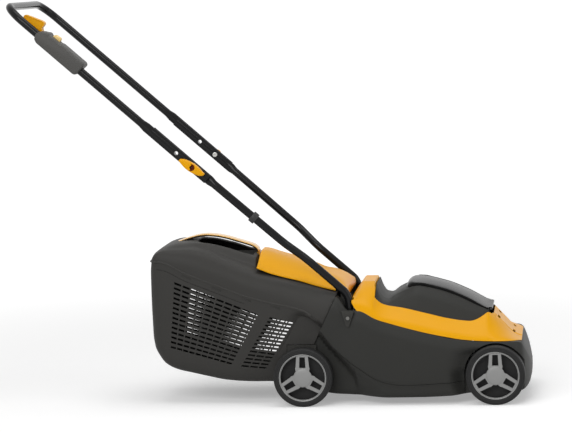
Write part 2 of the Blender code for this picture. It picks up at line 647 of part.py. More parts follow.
def make_lid():
    barrel_front = (
        (0.4440, 0.2180), (0.4480, 0.2172), (0.4495, 0.2140), (0.4480, 0.2108), (0.4455, 0.2098), (0.4425, 0.2110),
        (0.4413, 0.2140),
    )
    outline = LID_TOP + barrel_front + LID_UNDER
    under = tuple(reversed(LID_UNDER))
    rings = []
    for y, inset in (
        (-LID_HALF, 0.0040), (-LID_HALF + 0.0025, 0.0012), (-LID_HALF + 0.0070, 0.0),
        (LID_HALF - 0.0070, 0.0), (LID_HALF - 0.0025, 0.0012), (LID_HALF, 0.0040),
    ):
        ring = []
        for i, (x, z) in enumerate(outline):
            on_top = 0 < i < len(LID_TOP) - 1
            lowered = min(inset, 0.5 * (z - read_line(under, x))) if on_top else 0.0
            ring.append((x, y, z - lowered))
        rings.append(ring)
    lid = place("battery_lid", skin(rings), "lid_gloss", LID_HINGE)
    for name, mirror in (("rear_corner_right", -1), ("rear_corner_left", 1)):
        cut(lid, plan_prism([(x, mirror * y) for x, y in LID_CORNER], 0.24, 0.30), name)
    corners = []
    for sign in (-1, 1):
        near, far = sorted((sign * 0.0695, sign * 0.10))
        corners.append(box((0.4400, near, 0.20), (0.46, far, 0.24)))
    cut(lid, merged(*corners), "hinge_clearance")
    cut(lid, rod(0.0022, -0.10, 0.10, LID_HINGE, "Y", 12), "pin_hole")
    place("lid_pin", rod(0.0020, -0.0760, 0.0760, LID_HINGE, "Y", 12), "steel")
    return lid


def make_battery():
    tray_box = frame_box(in_lid, (0.0215, 0.1625), (-0.068, -0.0010), (-0.0465, 0.0465))
    tray = place("battery_tray", tray_box, "black_plastic")
    cut(tray, frame_box(in_lid, (0.0245, 0.1595), (-0.065, 0.020), (-0.0435, 0.0435)), "bay")
    pack_origin = in_lid(0.092, -0.034, 0.0)
    outline = (
        (0.0290, -0.0635), (0.1550, -0.0635), (0.1565, -0.0600), (0.1565, -0.0060), (0.1535, -0.0030),
        (0.0305, -0.0030), (0.0275, -0.0060), (0.0275, -0.0600),
    )
    pack = place("battery_pack", frame_prism(in_lid, outline, -0.0415, 0.0415), "black_plastic", pack_origin)
    cut(pack, frame_box(in_lid, (0.0560, 0.1040), (-0.070, -0.0560), (-0.0230, 0.0230)), "terminal_recess")
    cut(pack, frame_box(in_lid, (0.1300, 0.1450), (-0.0120, 0.010), (-0.0250, 0.0250)), "finger_grip")
    block_box = frame_box(in_lid, (0.0600, 0.1000), (-0.0647, -0.0570), (-0.0190, 0.0190))
    block = place("terminal_block", block_box, "brass")
    slots = []
    for y in (-0.012, -0.004, 0.004, 0.012):
        slots.append(frame_box(in_lid, (0.066, 0.094), (-0.0600, -0.050), (y - 0.0012, y + 0.0012)))
    cut(block, merged(*slots), "contact_slots")
    socket_box = frame_box(in_lid, (0.1010, 0.1340), (-0.0280, -0.0080), (0.0525, 0.0775))
    socket = place("key_socket", socket_box, "black_plastic")
    cut(socket, frame_box(in_lid, (0.1110, 0.1240), (-0.0250, 0.0), (0.0622, 0.0678)), "key_slot")
    key_origin = in_lid(0.1175, -0.008, 0.065)
    head = frame_box(in_lid, (0.1060, 0.1290), (-0.0076, 0.0030), (0.0580, 0.0720))
    key = place("safety_key", head, "key_orange", key_origin)
    join(key, frame_box(in_lid, (0.1115, 0.1235), (-0.0230, -0.0070), (0.0626, 0.0674)), "blade")
    board = place("control_board", box((0.310, -0.036, 0.1035), (0.385, 0.036, 0.1051)), "board_green")
    parts = [
        box((0.318, -0.030, 0.1045), (0.334, -0.012, 0.1140)),
        box((0.345, 0.004, 0.1045), (0.377, 0.028, 0.1120)),
    ]
    for x in (0.316, 0.379):
        for y in (-0.031, 0.031):
            parts.append(box((x - 0.003, y - 0.003, BAY_FLOOR + GAP), (x + 0.003, y + 0.003, 0.1040)))
    join(board, merged(*parts), "components")


def make_motor():
    centre = (BLADE_X, 0.0, 0.0)
    base = BAY_FLOOR + GAP
    profile = (
        (0.0070, base), (0.0450, base), (0.0445, base + 0.050), (0.0410, base + 0.055), (0.0200, base + 0.056),
        (0.0180, base + 0.062), (0.0070, base + 0.062),
    )
    motor = place("motor", turned(profile, centre, "Z", 20), "motor_can")
    holes = []
    for k in range(MOTOR_SCREWS):
        x, y = motor_screw_place(k)
        holes.append(rod(0.0024, base - 0.01, base + 0.012, (x, y, 0), "Z", 12))
        screw_profile = (
            (0.0, CHAMBER_TOP - 0.0040), (0.0042, CHAMBER_TOP - 0.0040), (0.0042, CHAMBER_TOP - GAP),
            (0.0020, CHAMBER_TOP - GAP), (0.0020, base + 0.010), (0.0, base + 0.010),
        )
        place(f"motor_screw_{k + 1}", turned(screw_profile, (x, y, 0), "Z", SMALL_SIDES), "zinc")
    cut(motor, merged(*holes), "screw_holes")


def make_cutter():
    centre = (BLADE_X, 0.0, 0.0)
    shaft = rod(SHAFT_RADIUS, 0.0335, 0.150, centre, "Z", 16)
    place("motor_shaft", shaft, "steel", (BLADE_X, 0.0, 0.09))
    hub_profile = (
        (SHAFT_RADIUS + GAP, 0.0335), (0.0300, 0.0335), (0.0300, 0.0370), (0.0140, 0.0400),
        (0.0110, 0.0620), (SHAFT_RADIUS + GAP, 0.0620),
    )
    carrier = place("blade_carrier", turned(hub_profile, centre, "Z", 20), "black_plastic", (BLADE_X, 0.0, 0.05))
    vanes = []
    for k in range(4):
        bm = box((0.011, -0.001, 0.036), (0.030, 0.001, 0.050))
        bmesh.ops.rotate(bm, verts=bm.verts, cent=(0, 0, 0), matrix=Matrix.Rotation(2 * pi * k / 4, 3, "Z"))
        bmesh.ops.translate(bm, verts=bm.verts, vec=centre)
        vanes.append(bm)
    join(carrier, merged(*vanes), "fan_vanes")
    half = BLADE_LENGTH / 2
    outline = (
        (-half, -0.010), (-half + 0.012, -0.022), (-0.050, -0.022), (-0.030, -0.016), (0.030, -0.016),
        (0.055, -0.022), (half, -0.022), (half, 0.010), (half - 0.012, 0.022), (0.050, 0.022),
        (0.030, 0.016), (-0.030, 0.016), (-0.055, 0.022), (-half, 0.022),
    )
    plate = plan_prism([(x + BLADE_X, y) for x, y in outline], 0.0300, 0.0332)
    blade = place("cutting_blade", plate, "blade_steel", (BLADE_X, 0.0, 0.0316))
    wings = []
    for sign in (-1, 1):
        wing = ((0.022, 0.0305), (0.022, 0.0330), (0.006, 0.0330), (0.006, 0.0305))
        lifted = ((0.026, 0.0440), (0.023, 0.0440))
        ring = [(wing[3][0], wing[3][1]), (wing[0][0], wing[0][1]), lifted[0], lifted[1], (0.019, 0.0330)]
        wings.append(skin([[(BLADE_X + sign * x, -sign * y, z) for y, z in ring] for x in (0.105, 0.156)]))
    join(blade, merged(*wings), "wings")
    cut(blade, rod(SHAFT_RADIUS - 0.0015, 0.02, 0.04, centre, "Z", 16), "centre_hole")
    bolt_profile = (
        (0.0, 0.0195), (0.0065, 0.0195), (0.0065, 0.0260), (0.0130, 0.0262), (0.0130, 0.0297), (0.0, 0.0297),
    )
    place("blade_bolt", turned(bolt_profile, centre, "Z", 6), "zinc", (BLADE_X, 0.0, 0.025))


def wheel_profile(sign):
    r = WHEEL_RADIUS
    points = (
        (0.0115, 0.1470), (0.0115, 0.1580), (0.0590, 0.1580), (0.0610, 0.1470), (0.0670, 0.1470),
        (r, 0.1500), (r, 0.1820), (0.0670, 0.1850), (0.0573, 0.1850),
        (0.0573, 0.1640), (0.0120, 0.1620), (0.0120, 0.1720), (AXLE_BORE, 0.1720), (AXLE_BORE, 0.1470),
    )
    return [(radius, sign * y) for radius, y in points]


def hub_trim(centre, sign):
    """Turned plate of the grey trim: deep outer ring, thin face, raised hub cap."""
    profile = (
        (0.0, 0.1790), (0.0545, 0.1790), (0.0568, 0.1760), (0.0568, 0.1840), (0.0205, 0.1836),
        (0.0185, 0.1848), (0.0, 0.1848),
    )
    return turned([(radius, sign * y) for radius, y in profile], centre, "Y", TRIM_SIDES)


def trim_openings(centre):
    """Three narrow windows, one in each spoke, and three wide gaps between the spokes."""
    shapes = []
    window = ((-0.0064, 0.0495), (0.0064, 0.0495), (0.0076, 0.0240), (-0.0076, 0.0240))
    gap = [(0.0140, 0.0510), (0.0166, 0.0215)]
    gap += [(0.0215 * sin(radians(a)), 0.0215 * cos(radians(a))) for a in (52, 68)]
    for across, up in ((0.0166, 0.0215), (0.0140, 0.0510)):
        turn = radians(120)
        gap.append((up * sin(turn) - across * cos(turn), up * cos(turn) + across * sin(turn)))
    gap += [(0.0528 * sin(radians(a)), 0.0528 * cos(radians(a))) for a in (92, 76, 60, 44, 28)]
    for k in range(3):
        for outline in (window, gap):
            bm = side_prism(outline, -0.2, 0.2)
            bmesh.ops.rotate(bm, verts=bm.verts, cent=(0, 0, 0), matrix=Matrix.Rotation(2 * pi * k / 3, 3, "Y"))
            bmesh.ops.translate(bm, verts=bm.verts, vec=centre)
            shapes.append(bm)
    return shapes


def make_wheels():
    for place_name, x in (("rear", 0.0), ("front", WHEELBASE)):
        centre = Vector((x, 0.0, WHEEL_RADIUS))
        axle = chamfered_rod(AXLE_RADIUS, -0.1780, 0.1780, 0.0008, centre, "Y", 16)
        place(f"{place_name}_axle", axle, "zinc", centre)
        for side, sign in (("right", -1), ("left", 1)):
            origin = centre + Vector((0.0, sign * 0.166, 0.0))
            tyre = turned(wheel_profile(sign), centre, "Y", WHEEL_SIDES)
            place(f"{place_name}_wheel_{side}", tyre, "tyre_plastic", origin)
            trim = place(f"{place_name}_trim_{side}", hub_trim(centre, sign), "trim_grey", origin)
            cut(trim, merged(*trim_openings(centre)), "openings")
            nut = turned(
                (
                    (AXLE_BORE, sign * 0.1725), (0.0095, sign * 0.1725), (0.0095, sign * 0.1745),
                    (AXLE_BORE, sign * 0.1765),
                ),
                centre, "Y", 12,
            )
            place(f"{place_name}_retainer_{side}", nut, "steel", origin)


def lower_handle_path(sign):
    """Middle line of a lower tube, from its top end down into the deck socket."""
    def leg(along, y):
        return on_leg(along, 0.0, sign * y)
    points = [
        leg(0.1290, LOWER_TOP_Y), leg(0.1150, LOWER_TOP_Y), leg(0.0500, LOWER_TOP_Y), leg(-0.0520, LOWER_TOP_Y),
        leg(-0.0640, 0.1881), leg(-0.1700, 0.1820), leg(-0.2650, 0.1765),
        leg(-0.2850, 0.1725), leg(-0.3350, 0.1435), leg(-0.3560, LOWER_LOW_Y),
    ]
    bend = Vector((SOCKET_X, sign * LOWER_LOW_Y, on_leg(-(SOCKET_X - PIVOT.x) / -cos(LEG_ANGLE), 0.0, 0.0).z))
    low = Vector((SOCKET_X, sign * LOWER_LOW_Y, 0.190))
    points += arc_corner(points[-1], bend, low, 0.045, 4)
    points.append(low)
    return points


def make_lower_handles():
    for side, sign in (("right", -1), ("left", 1)):
        path = lower_handle_path(sign)
        sizes = [(TUBE_RADIUS, TUBE_RADIUS)] * len(path)
        sizes[0] = sizes[1] = sizes[2] = sizes[3] = (FLAT_TALL, FLAT_THIN)
        tube = place(f"lower_handle_{side}", hollow_tube(path, sizes, (0, sign, 0)), "black_paint")
        low_y, high_y = sign * LOWER_TOP_Y - 0.02, sign * LOWER_TOP_Y + 0.02
        bolt_hole = rod(BOLT_RADIUS + GAP, low_y, high_y, PIVOT, "Y", SMALL_SIDES)
        spare_hole = rod(BOLT_RADIUS + GAP, low_y, high_y, on_leg(0.050, 0, 0), "Y", SMALL_SIDES)
        cut(tube, merged(bolt_hole, spare_hole), "bolt_holes")
        screw_place = (SOCKET_X - 0.001, 0.0, 0.211)
        cut(tube, rod(0.0024, sign * LOWER_LOW_Y - 0.02, sign * LOWER_LOW_Y + 0.02, screw_place, "Y", 12), "screw_hole")
        screw = turned(
            ((0.0, sign * 0.1290), (0.0020, sign * 0.1290), (0.0020, sign * 0.1788), (0.0045, sign * 0.1788),
             (0.0045, sign * 0.1812), (0.0, sign * 0.1812)),
            screw_place, "Y", SMALL_SIDES,
        )
        place(f"handle_screw_{side}", screw, "zinc")


def make_upper_handle():
    corner_right = on_leg(LEG_LENGTH, 0.0, -HANDLE_HALF)
    corner_left = on_leg(LEG_LENGTH, 0.0, HANDLE_HALF)
    stops = (-0.046, -0.030, 0.050, 0.134, 0.144)
    right = [on_leg(along, 0.0, -HANDLE_HALF) for along in stops]
    left = [on_leg(along, 0.0, HANDLE_HALF) for along in reversed(stops)]
    path = right + arc_corner(right[-1], corner_right, corner_left, HANDLE_CORNER, 4)
    path += arc_corner(corner_right, corner_left, left[0], HANDLE_CORNER, 4) + left
    sizes = [(TUBE_RADIUS, TUBE_RADIUS)] * len(path)
    for index in (0, 1, 2, 3, -4, -3, -2, -1):
        sizes[index] = (FLAT_TALL, FLAT_THIN)
    tube = place("upper_handle", hollow_tube(path, sizes, (0, -1, 0)), "black_paint", PIVOT)
    holes = []
    for centre in (PIVOT, on_leg(0.050, 0, 0)):
        for sign in (-1, 1):
            low_y, high_y = sign * HANDLE_HALF - 0.02, sign * HANDLE_HALF + 0.02
            holes.append(rod(BOLT_RADIUS + GAP, low_y, high_y, centre, "Y", SMALL_SIDES))
    cut(tube, merged(*holes), "bolt_holes")


def make_fold_joints():
    inner = LOWER_TOP_Y - FLAT_THIN - GAP
    outer = HANDLE_HALF + FLAT_THIN + GAP
    for side, sign in (("right", -1), ("left", 1)):
        bolt = turned(
            ((0.0, sign * (inner - 0.0035)), (0.0050, sign * (inner - 0.0035)), (0.0062, sign * (inner - 0.0020)),
             (0.0062, sign * inner), (BOLT_RADIUS, sign * inner), (BOLT_RADIUS, sign * 0.2180), (0.0, sign * 0.2180)),
            PIVOT, "Y", 12,
        )
        place(f"fold_bolt_{side}", bolt, "zinc", PIVOT + Vector((0, sign * inner, 0)))
        wing = [on_leg(a, b, 0) - PIVOT for a, b in wing_outline()]
        rings = [[PIVOT + point + Vector((0, sign * y, 0)) for point in wing] for y in (outer + 0.0035, 0.2235)]
        knob = place(f"wing_knob_{side}", skin(rings), "yellow_gloss", PIVOT + Vector((0, sign * 0.215, 0)))
        join(knob, rod(0.0105, *sorted((sign * outer, sign * 0.2205)), PIVOT, "Y", 12, 0.5), "boss")
        cut(knob, rod(BOLT_RADIUS + GAP, *sorted((sign * (outer - 0.01), sign * 0.2190)), PIVOT, "Y", 12), "bolt_hole")


def wing_outline():
    """S-shaped wing, as (along the leg, above it) about the bolt: one half, then its half turn."""
    half = (
        (0.0335, -0.0020), (0.0340, 0.0030), (0.0290, 0.0075), (0.0190, 0.0105), (0.0060, 0.0110),
        (-0.0050, 0.0090), (-0.0150, 0.0050), (-0.0240, 0.0030), (-0.0320, 0.0040),
    )
    return list(half) + [(-a, -b) for a, b in half]


def make_cable_clip():
    centre = on_leg(-0.187, 0.0, -0.1810)
    low = on_leg(-0.194, 0.0, -0.1806)
    high = on_leg(-0.180, 0.0, -0.1814)
    side = (0, -1, 0)
    outer = sweep((low, high), [(0.0135, 0.0130)] * 2, side, 16)
    inner = sweep((low, high), [(TUBE_RADIUS + 2 * GAP, TUBE_RADIUS + 2 * GAP)] * 2, side, 16)
    place("cable_clip", skin(outer + list(reversed(inner)), closed=True), "black_plastic", centre)


def box_outline():
    """Side outline of the switch box in the leg's frame."""
    return (
        (0.3500, -0.0160), (0.4700, -0.0160), (0.4795, -0.0120), (0.4845, 0.0020), (0.4780, 0.0140), (0.4640, 0.0215),
        (0.4590, 0.0220), (0.4560, 0.0200), (0.4260, 0.0200), (0.4200, 0.0220), (0.3520, 0.0220), (0.3470, 0.0180),
    )


def make_switch_box():
    origin = on_leg(0.415, 0.0, -HANDLE_HALF)
    outline = box_outline()
    narrow = [(0.415 + (a - 0.415) * 0.985, b * 0.80 + 0.0006) for a, b in outline]
    outer_rings = [
        [on_leg(a, b, -0.2210) for a, b in narrow],
        [on_leg(a, b, -0.2150) for a, b in outline],
        [on_leg(a, b, -0.2002) for a, b in outline],
    ]
    outer = place("switch_box_outer", skin(outer_rings), "switch_grey", origin)
    inner_rings = [
        [on_leg(a, b, -0.1998) for a, b in outline],
        [on_leg(a, b, -0.1700) for a, b in outline],
        [on_leg(a, b, -0.1630) for a, b in narrow],
    ]
    inner = place("switch_box_inner", skin(inner_rings), "switch_grey", origin)
    bore = TUBE_RADIUS + GAP
    channel_ends = (on_leg(0.30, 0, -HANDLE_HALF), on_leg(0.52, 0, -HANDLE_HALF))
    cut(outer, skin(sweep(channel_ends, [(bore, bore)] * 2, (0, -1, 0), 20)), "tube_channel")
    cut(inner, skin(sweep(channel_ends, [(bore, bore)] * 2, (0, -1, 0), 20)), "tube_channel")
    cut(inner, frame_box(on_leg, (0.380, 0.452), (-0.012, 0.0175), (-0.2050, -0.1665)), "switch_cavity")
    cut(inner, frame_box(on_leg, (0.4645, 0.50), (-0.010, 0.040), (-0.1890, -0.1670)), "lever_notch")
    cut(inner, rod(0.0017, -0.1920, -0.1600, on_leg(0.4730, 0.0060, 0), "Y", 12), "lever_pin_hole")
    button_slot = frame_box(on_leg, (0.4295, 0.4525), (0.0100, 0.040), (-0.1960, -0.1760))
    cut(inner, button_slot, "button_slot")
    for index, along in enumerate((0.362, 0.4585)):
        spot = on_leg(along, -0.0128 if index == 0 else -0.0120, 0)
        cut(outer, rod(0.0017, -0.2120, -0.19, spot, "Y", SMALL_SIDES), f"screw_hole_{index}")
        cut(inner, rod(0.0017, -0.21, -0.1500, spot, "Y", SMALL_SIDES), f"screw_hole_{index}")
        screw = turned(
            ((0.0, -0.2110), (0.0014, -0.2110), (0.0014, -0.1625), (0.0028, -0.1625), (0.0028, -0.1608), (0.0, -0.1608)),
            spot, "Y", SMALL_SIDES,
        )
        place(f"box_screw_{index + 1}", screw, "zinc", origin)
    switch = frame_box(on_leg, (0.392, 0.420), (-0.0100, 0.0060), (-0.1880, -0.1690))
    place("micro_switch", switch, "black_plastic", origin)


def make_start_lever():
    pivot = on_leg(0.4730, 0.0060, -0.178)
    outline = (
        (0.4680, 0.0020), (0.4730, 0.0005), (0.4850, 0.0030), (0.5330, 0.0060), (0.5370, 0.0105), (0.5350, 0.0160),
        (0.4980, 0.0290), (0.4900, 0.0305), (0.4855, 0.0280), (0.4850, 0.0165), (0.4775, 0.0105), (0.4690, 0.0100),
    )
    lever = place("start_lever", frame_prism(on_leg, outline, -0.1883, -0.1680), "yellow_gloss", pivot)
    cut(lever, rod(0.0017, -0.20, -0.15, on_leg(0.4730, 0.0060, 0), "Y", 12), "pin_hole")
    place("lever_pin", rod(0.0014, -0.1915, -0.1640, on_leg(0.4730, 0.0060, 0), "Y", 12), "steel", pivot)


def make_lock_button():
    origin = on_leg(0.441, 0.020, -0.186)
    outline = (
        (0.4310, 0.0120), (0.4510, 0.0120), (0.4510, 0.0235), (0.4475, 0.0270), (0.4350, 0.0285), (0.4310, 0.0250),
    )
    place("lock_button", frame_prism(on_leg, outline, -0.1945, -0.1775), "pale_yellow", origin)


def flap_height(x, z, y):
    """Height of the flap's skin beside a point of its crown: flat over the strap, then falling to the side."""
    edge = read_line(tuple(reversed(FLAP_EDGE)), x) + WALL
    if z <= edge:
        return z
    out = max(abs(y) - FLAP_CROWN_HALF, 0.0) / (FLAP_HALF - FLAP_CROWN_HALF)
    squareness = 1.6 + 1.9 * min(max((x - 0.040) / 0.040, 0.0), 1.0)
    return z - (z - edge) * min(out, 1.0) ** squareness


def make_flap():
    places = [-FLAP_HALF, *[-y for y in reversed(FLAP_STEPS)], *FLAP_STEPS, FLAP_HALF]
    rings = []
    for y in places:
        top = [(x, y, flap_height(x, z, y)) for x, z in FLAP_CROWN]
        rings.append(top + [(x, y, z) for x, z in FLAP_FRONT + FLAP_EDGE])
    flap = place("rear_flap", skin(rings), "yellow_gloss", FLAP_HINGE)
    hollows = []
    last = len(FLAP_CROWN) - 1
    for y in [max(min(y, FLAP_HALF - 0.0035), 0.0035 - FLAP_HALF) for y in places]:
        ring = []
        for i, (x, z) in enumerate(FLAP_CROWN):
            shift = WALL if i < 4 else (-WALL if i > last - 3 else 0.0)
            drop = 0.0 if i == last else WALL
            ring.append((x + shift, y, flap_height(x, z, y) - drop))
        hollows.append(ring + [(FLAP_CROWN[-1][0] - WALL, y, 0.235), (FLAP_CROWN[0][0] + WALL, y, 0.235)])
    cut(flap, skin(hollows), "inside")
    clearances = []
    for sign in (-1, 1):
        near, far = sorted((sign * 0.1115, sign * 0.13))
        clearances.append(box((0.0790, near, 0.24), (0.12, far, 0.30)))
    cut(flap, merged(*clearances), "ear_clearance")
    end_plate = ((0.0770, 0.2815), (0.0900, 0.2790), (0.0990, 0.2755)) + FLAP_PLATE
    middle_plate = ((0.0770, 0.2975), (0.0900, 0.2898), (0.0985, 0.2822)) + FLAP_PLATE
    for name, sign in (("right", -1), ("left", 1)):
        knuckle = helper(f"flap_knuckle_{name}", rod(0.0062, *sorted((sign * 0.0610, sign * 0.1100)), FLAP_HINGE))
        join(knuckle, side_prism(end_plate, *sorted((sign * 0.1078, sign * 0.1110))), "end_plate")
        join(knuckle, side_prism(middle_plate, *sorted((sign * 0.0600, sign * 0.0630))), "middle_plate")
        boolean(flap, "UNION", knuckle, f"knuckle_{name}", "MANIFOLD")
    pin_hole = helper("rear_flap_pin_hole", rod(0.0027, -0.13, 0.13, FLAP_HINGE, "Y", 12))
    boolean(flap, "DIFFERENCE", pin_hole, "pin_hole", "MANIFOLD")
    place("flap_pin", rod(0.0024, -0.1215, 0.1215, FLAP_HINGE, "Y", 12), "steel", FLAP_HINGE)
    make_flap_spring()


def make_flap_spring():
    """Torsion spring of round wire: its coil round the pin, one leg down to the deck."""
    wire = 0.0006
    coil_radius = 0.0040
    turns = 5
    per_turn = 8
    pitch = 2.6 * wire
    start = -turns * pitch / 2
    points = []
    for k in range(turns * per_turn + 1):
        angle = 2 * pi * k / per_turn - pi / 2
        y = start + pitch * k / per_turn
        points.append(Vector((coil_radius * cos(angle), y, coil_radius * sin(angle))) + FLAP_HINGE)
    points.insert(0, points[0] + Vector((-0.0055, -0.0004, -0.0008)))
    points.append(points[-1] + Vector((0.0035, 0.0004, -0.0008)))
    curve = bpy.data.curves.new("flap_spring", "CURVE")
    curve.dimensions = "3D"
    curve.bevel_depth = wire
    curve.bevel_resolution = 1
    curve.use_fill_caps = True
    spline = curve.splines.new("POLY")
    spline.points.add(len(points) - 1)
    for target, point in zip(spline.points, points):
        target.co = (*(point - FLAP_HINGE), 1.0)
    curve.materials.append(materials["steel"])
    obj = bpy.data.objects.new("flap_spring", curve)
    obj.location = FLAP_HINGE
    obj.parent = root
    bpy.context.scene.collection.objects.link(obj)


def catcher_ring(station, inset):
    x, low, low_half, half, seam, shoulder, top = station
    low += inset
    low_half -= inset
    half -= inset
    top -= inset
    shoulder_y = shoulder[0] - inset
    shoulder_z = shoulder[1] - inset
    spread = half - shoulder_y
    rise = shoulder_z - seam
    return [
        (x, y, z)
        for y, z in mirrored((
            (0.0, low), (low_half - 0.028, low), (low_half - 0.008, low + 0.008), (low_half, low + 0.030),
            (half, seam - 0.004), (half - 0.12 * spread, seam + 0.45 * rise),
            (half - 0.45 * spread, seam + 0.85 * rise), (shoulder_y, shoulder_z),
            (0.70 * shoulder_y, shoulder_z + 0.85 * (top - shoulder_z)), (0.0, top),
        ))
    ]


def catcher_outside():
    return skin([catcher_ring(station, 0.0) for station in CATCHER])


def catcher_inside():
    rings = []
    for index, station in enumerate(CATCHER):
        ring = catcher_ring(station, WALL)
        if index == 0:
            ring = [(x + WALL, y, z) for x, y, z in ring]
        elif station[0] < -0.33:
            ring = [(x + WALL * 0.7, y, z) for x, y, z in ring]
        elif station[0] < -0.115 and station[0] > -0.12:
            ring = [(x - WALL, y, z) for x, y, z in ring]
        elif index == len(CATCHER) - 1:
            ring = [(x + 0.02, y, z) for x, y, z in ring]
        rings.append(ring)
    return skin(rings)


def front_cutter():
    """Everything ahead of the catcher's front edge, with the notch behind the deck's cheeks."""
    gap = 0.0006
    outline = (
        (CATCHER_NOTCH_X, -0.02), (CATCHER_NOTCH_X, SEAM_LOW[1] + gap), (SEAM_LOW[0] - gap, SEAM_LOW[1] + gap),
        (SEAM_TOP[0] - gap, SEAM_TOP[1] + gap), (SEAM_TOP[0] - gap, 0.34), (0.20, 0.34), (0.20, -0.02),
    )
    return side_prism(outline, -0.25, 0.25)


def wheel_arches(grow=0.0):
    """Room for the rear wheels beside the tub; grown by its wall, it is kept out of the inside."""
    outline = (
        (-0.110 - grow, -0.01 - grow), (-0.110 - grow, 0.180), (-0.085 - grow / 2, 0.222 + grow), (-0.045, 0.232 + grow),
        (0.002, 0.215 + grow), (0.026 + grow, 0.182), (0.040 + grow, 0.10), (0.040 + grow, -0.01 - grow),
    )
    shapes = []
    for sign in (-1, 1):
        shapes.append(side_prism(outline, *sorted((sign * (RIB_OUTER_Y - grow), sign * 0.25))))
    return merged(*shapes)


def make_catcher():
    below = list(SHELL_SEAM) + [(0.120, 0.0), (-0.400, 0.0)]
    above = [(x, z + 0.0006) for x, z in SHELL_SEAM] + [(0.120, 0.45), (-0.400, 0.45)]
    lower = place("catcher_tub", catcher_outside(), "dark_plastic")
    hollow = helper("catcher_hollow", catcher_inside())
    cut(hollow, wheel_arches(WALL), "arches")
    cut_with(lower, hollow, "inside")
    keep(lower, side_prism(below, -0.25, 0.25), "below_seam")
    cut(lower, wheel_arches(), "wheel_arches")
    cut(lower, merged(*slot_bars(-0.20, -0.10)), "slots_right")
    cut(lower, merged(*slot_bars(0.10, 0.20)), "slots_left")
    cut(lower, front_cutter(), "front")
    upper = place("catcher_top", catcher_outside(), "dark_plastic")
    cut(upper, catcher_inside(), "inside")
    keep(upper, side_prism(above, -0.25, 0.25), "above_seam")
    cut(upper, front_cutter(), "front")
    x0, x1, half, floor = POCKET
    liner = box((x0 - 0.003, -half - 0.003, floor - 0.003), (x1 + 0.003, half + 0.003, 0.3520))
    join(upper, liner, "pocket_liner")
    cut(upper, box((x0, -half, floor), (x1, half, 0.45)), "pocket")
    cut(upper, strap(2 * GAP), "handle_seats")
    place("catcher_handle", strap(), "yellow_gloss")
    return lower, upper


def slot_bars(low_y, high_y):
    """Long slots through a side wall, in two groups that follow the shell seam's slope."""
    slope = atan2(-0.074, 0.203)
    groups = (
        (-0.309, 0.295, -0.106, 0.221, -0.323, 0.140, -0.174, 0.096, 10),
        (-0.074, 0.209, -0.024, 0.196, -0.155, 0.092, -0.112, 0.072, 8),
    )
    bars = []
    for x0, z0, x1, z1, x2, z2, x3, z3, rows in groups:
        for row in range(rows):
            t = row / (rows - 1)
            left = Vector((x0 + (x2 - x0) * t, z0 + (z2 - z0) * t))
            right = Vector((x1 + (x3 - x1) * t, z1 + (z3 - z1) * t))
            if right.x > -0.116:
                cut_t = (-0.116 - left.x) / (right.x - left.x)
                if cut_t < 0.15:
                    continue
                right = left.lerp(right, min(1.0, cut_t))
            half = 0.0024
            drop = half / cos(slope)
            outline = (
                (left.x, left.y - drop), (right.x, right.y - drop), (right.x, right.y + drop), (left.x, left.y + drop),
            )
            bars.append(side_prism(outline, low_y, high_y))
    return bars


def strap(grow=0.0):
    rings = []
    for i, (x, z) in enumerate(STRAP):
        before = Vector(STRAP[max(i - 1, 0)])
        after = Vector(STRAP[min(i + 1, len(STRAP) - 1)])
        tangent = (after - before).normalized()
        normal = Vector((-tangent.y, tangent.x))
        ends = {0: -grow, len(STRAP) - 1: grow}
        x += tangent.x * ends.get(i, 0.0)
        z += tangent.y * ends.get(i, 0.0)
        half = STRAP_THICK / 2 + grow
        edge = STRAP_WIDTH / 2 + grow
        section = (
            (-edge, -0.6), (-edge + 0.002, -1.0), (edge - 0.002, -1.0), (edge, -0.6), (edge, 0.35),
            (edge - 0.006, 1.0), (-edge + 0.006, 1.0), (-edge, 0.35),
        )
        rings.append([(x + normal.x * half * k, y, z + normal.y * half * k) for y, k in section])
    return skin(rings)


def build():
    global root
    clear_scene()
    for name in PALETTE:
        materials[name] = make_material(name)
    root = bpy.data.objects.new("mower", None)
    root.location = (ROOT_X, 0.0, 0.0)
    bpy.context.scene.collection.objects.link(root)
    make_deck()
    make_cowl()
    make_hood()
    make_cover_screws()
    make_lid()
    make_battery()
    make_motor()
    make_cutter()
    make_wheels()
    make_lower_handles()
    make_upper_handle()
    make_fold_joints()
    make_cable_clip()
    make_switch_box()
    make_start_lever()
    make_lock_button()
    make_flap()
    make_catcher()


build()
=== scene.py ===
"""Studio scene of a cordless lawn mower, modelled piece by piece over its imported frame.

Places are in metres from the ground point under the rear axle, front towards +X, and
tables inside mm() are in millimetres. A finished piece is shifted into the frame, whose
origin is under the middle of the mower.
"""

import logging
from bisect import bisect_right
from collections.abc import Callable, Iterator, Sequence
from contextlib import contextmanager
from dataclasses import dataclass
from enum import Enum
from math import ceil, cos, hypot, pi, radians, sin

import bmesh
import bpy
from mathutils import Matrix, Vector


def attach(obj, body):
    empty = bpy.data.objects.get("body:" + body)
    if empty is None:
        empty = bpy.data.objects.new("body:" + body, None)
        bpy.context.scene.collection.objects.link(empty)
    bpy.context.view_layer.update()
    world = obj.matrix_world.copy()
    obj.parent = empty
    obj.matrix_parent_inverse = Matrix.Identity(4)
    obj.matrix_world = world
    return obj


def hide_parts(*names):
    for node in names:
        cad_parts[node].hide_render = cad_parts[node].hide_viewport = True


Point2 = tuple[float, float]
Line = Sequence[Point2]
Ring = list[Vector]
Piece = bpy.types.Object

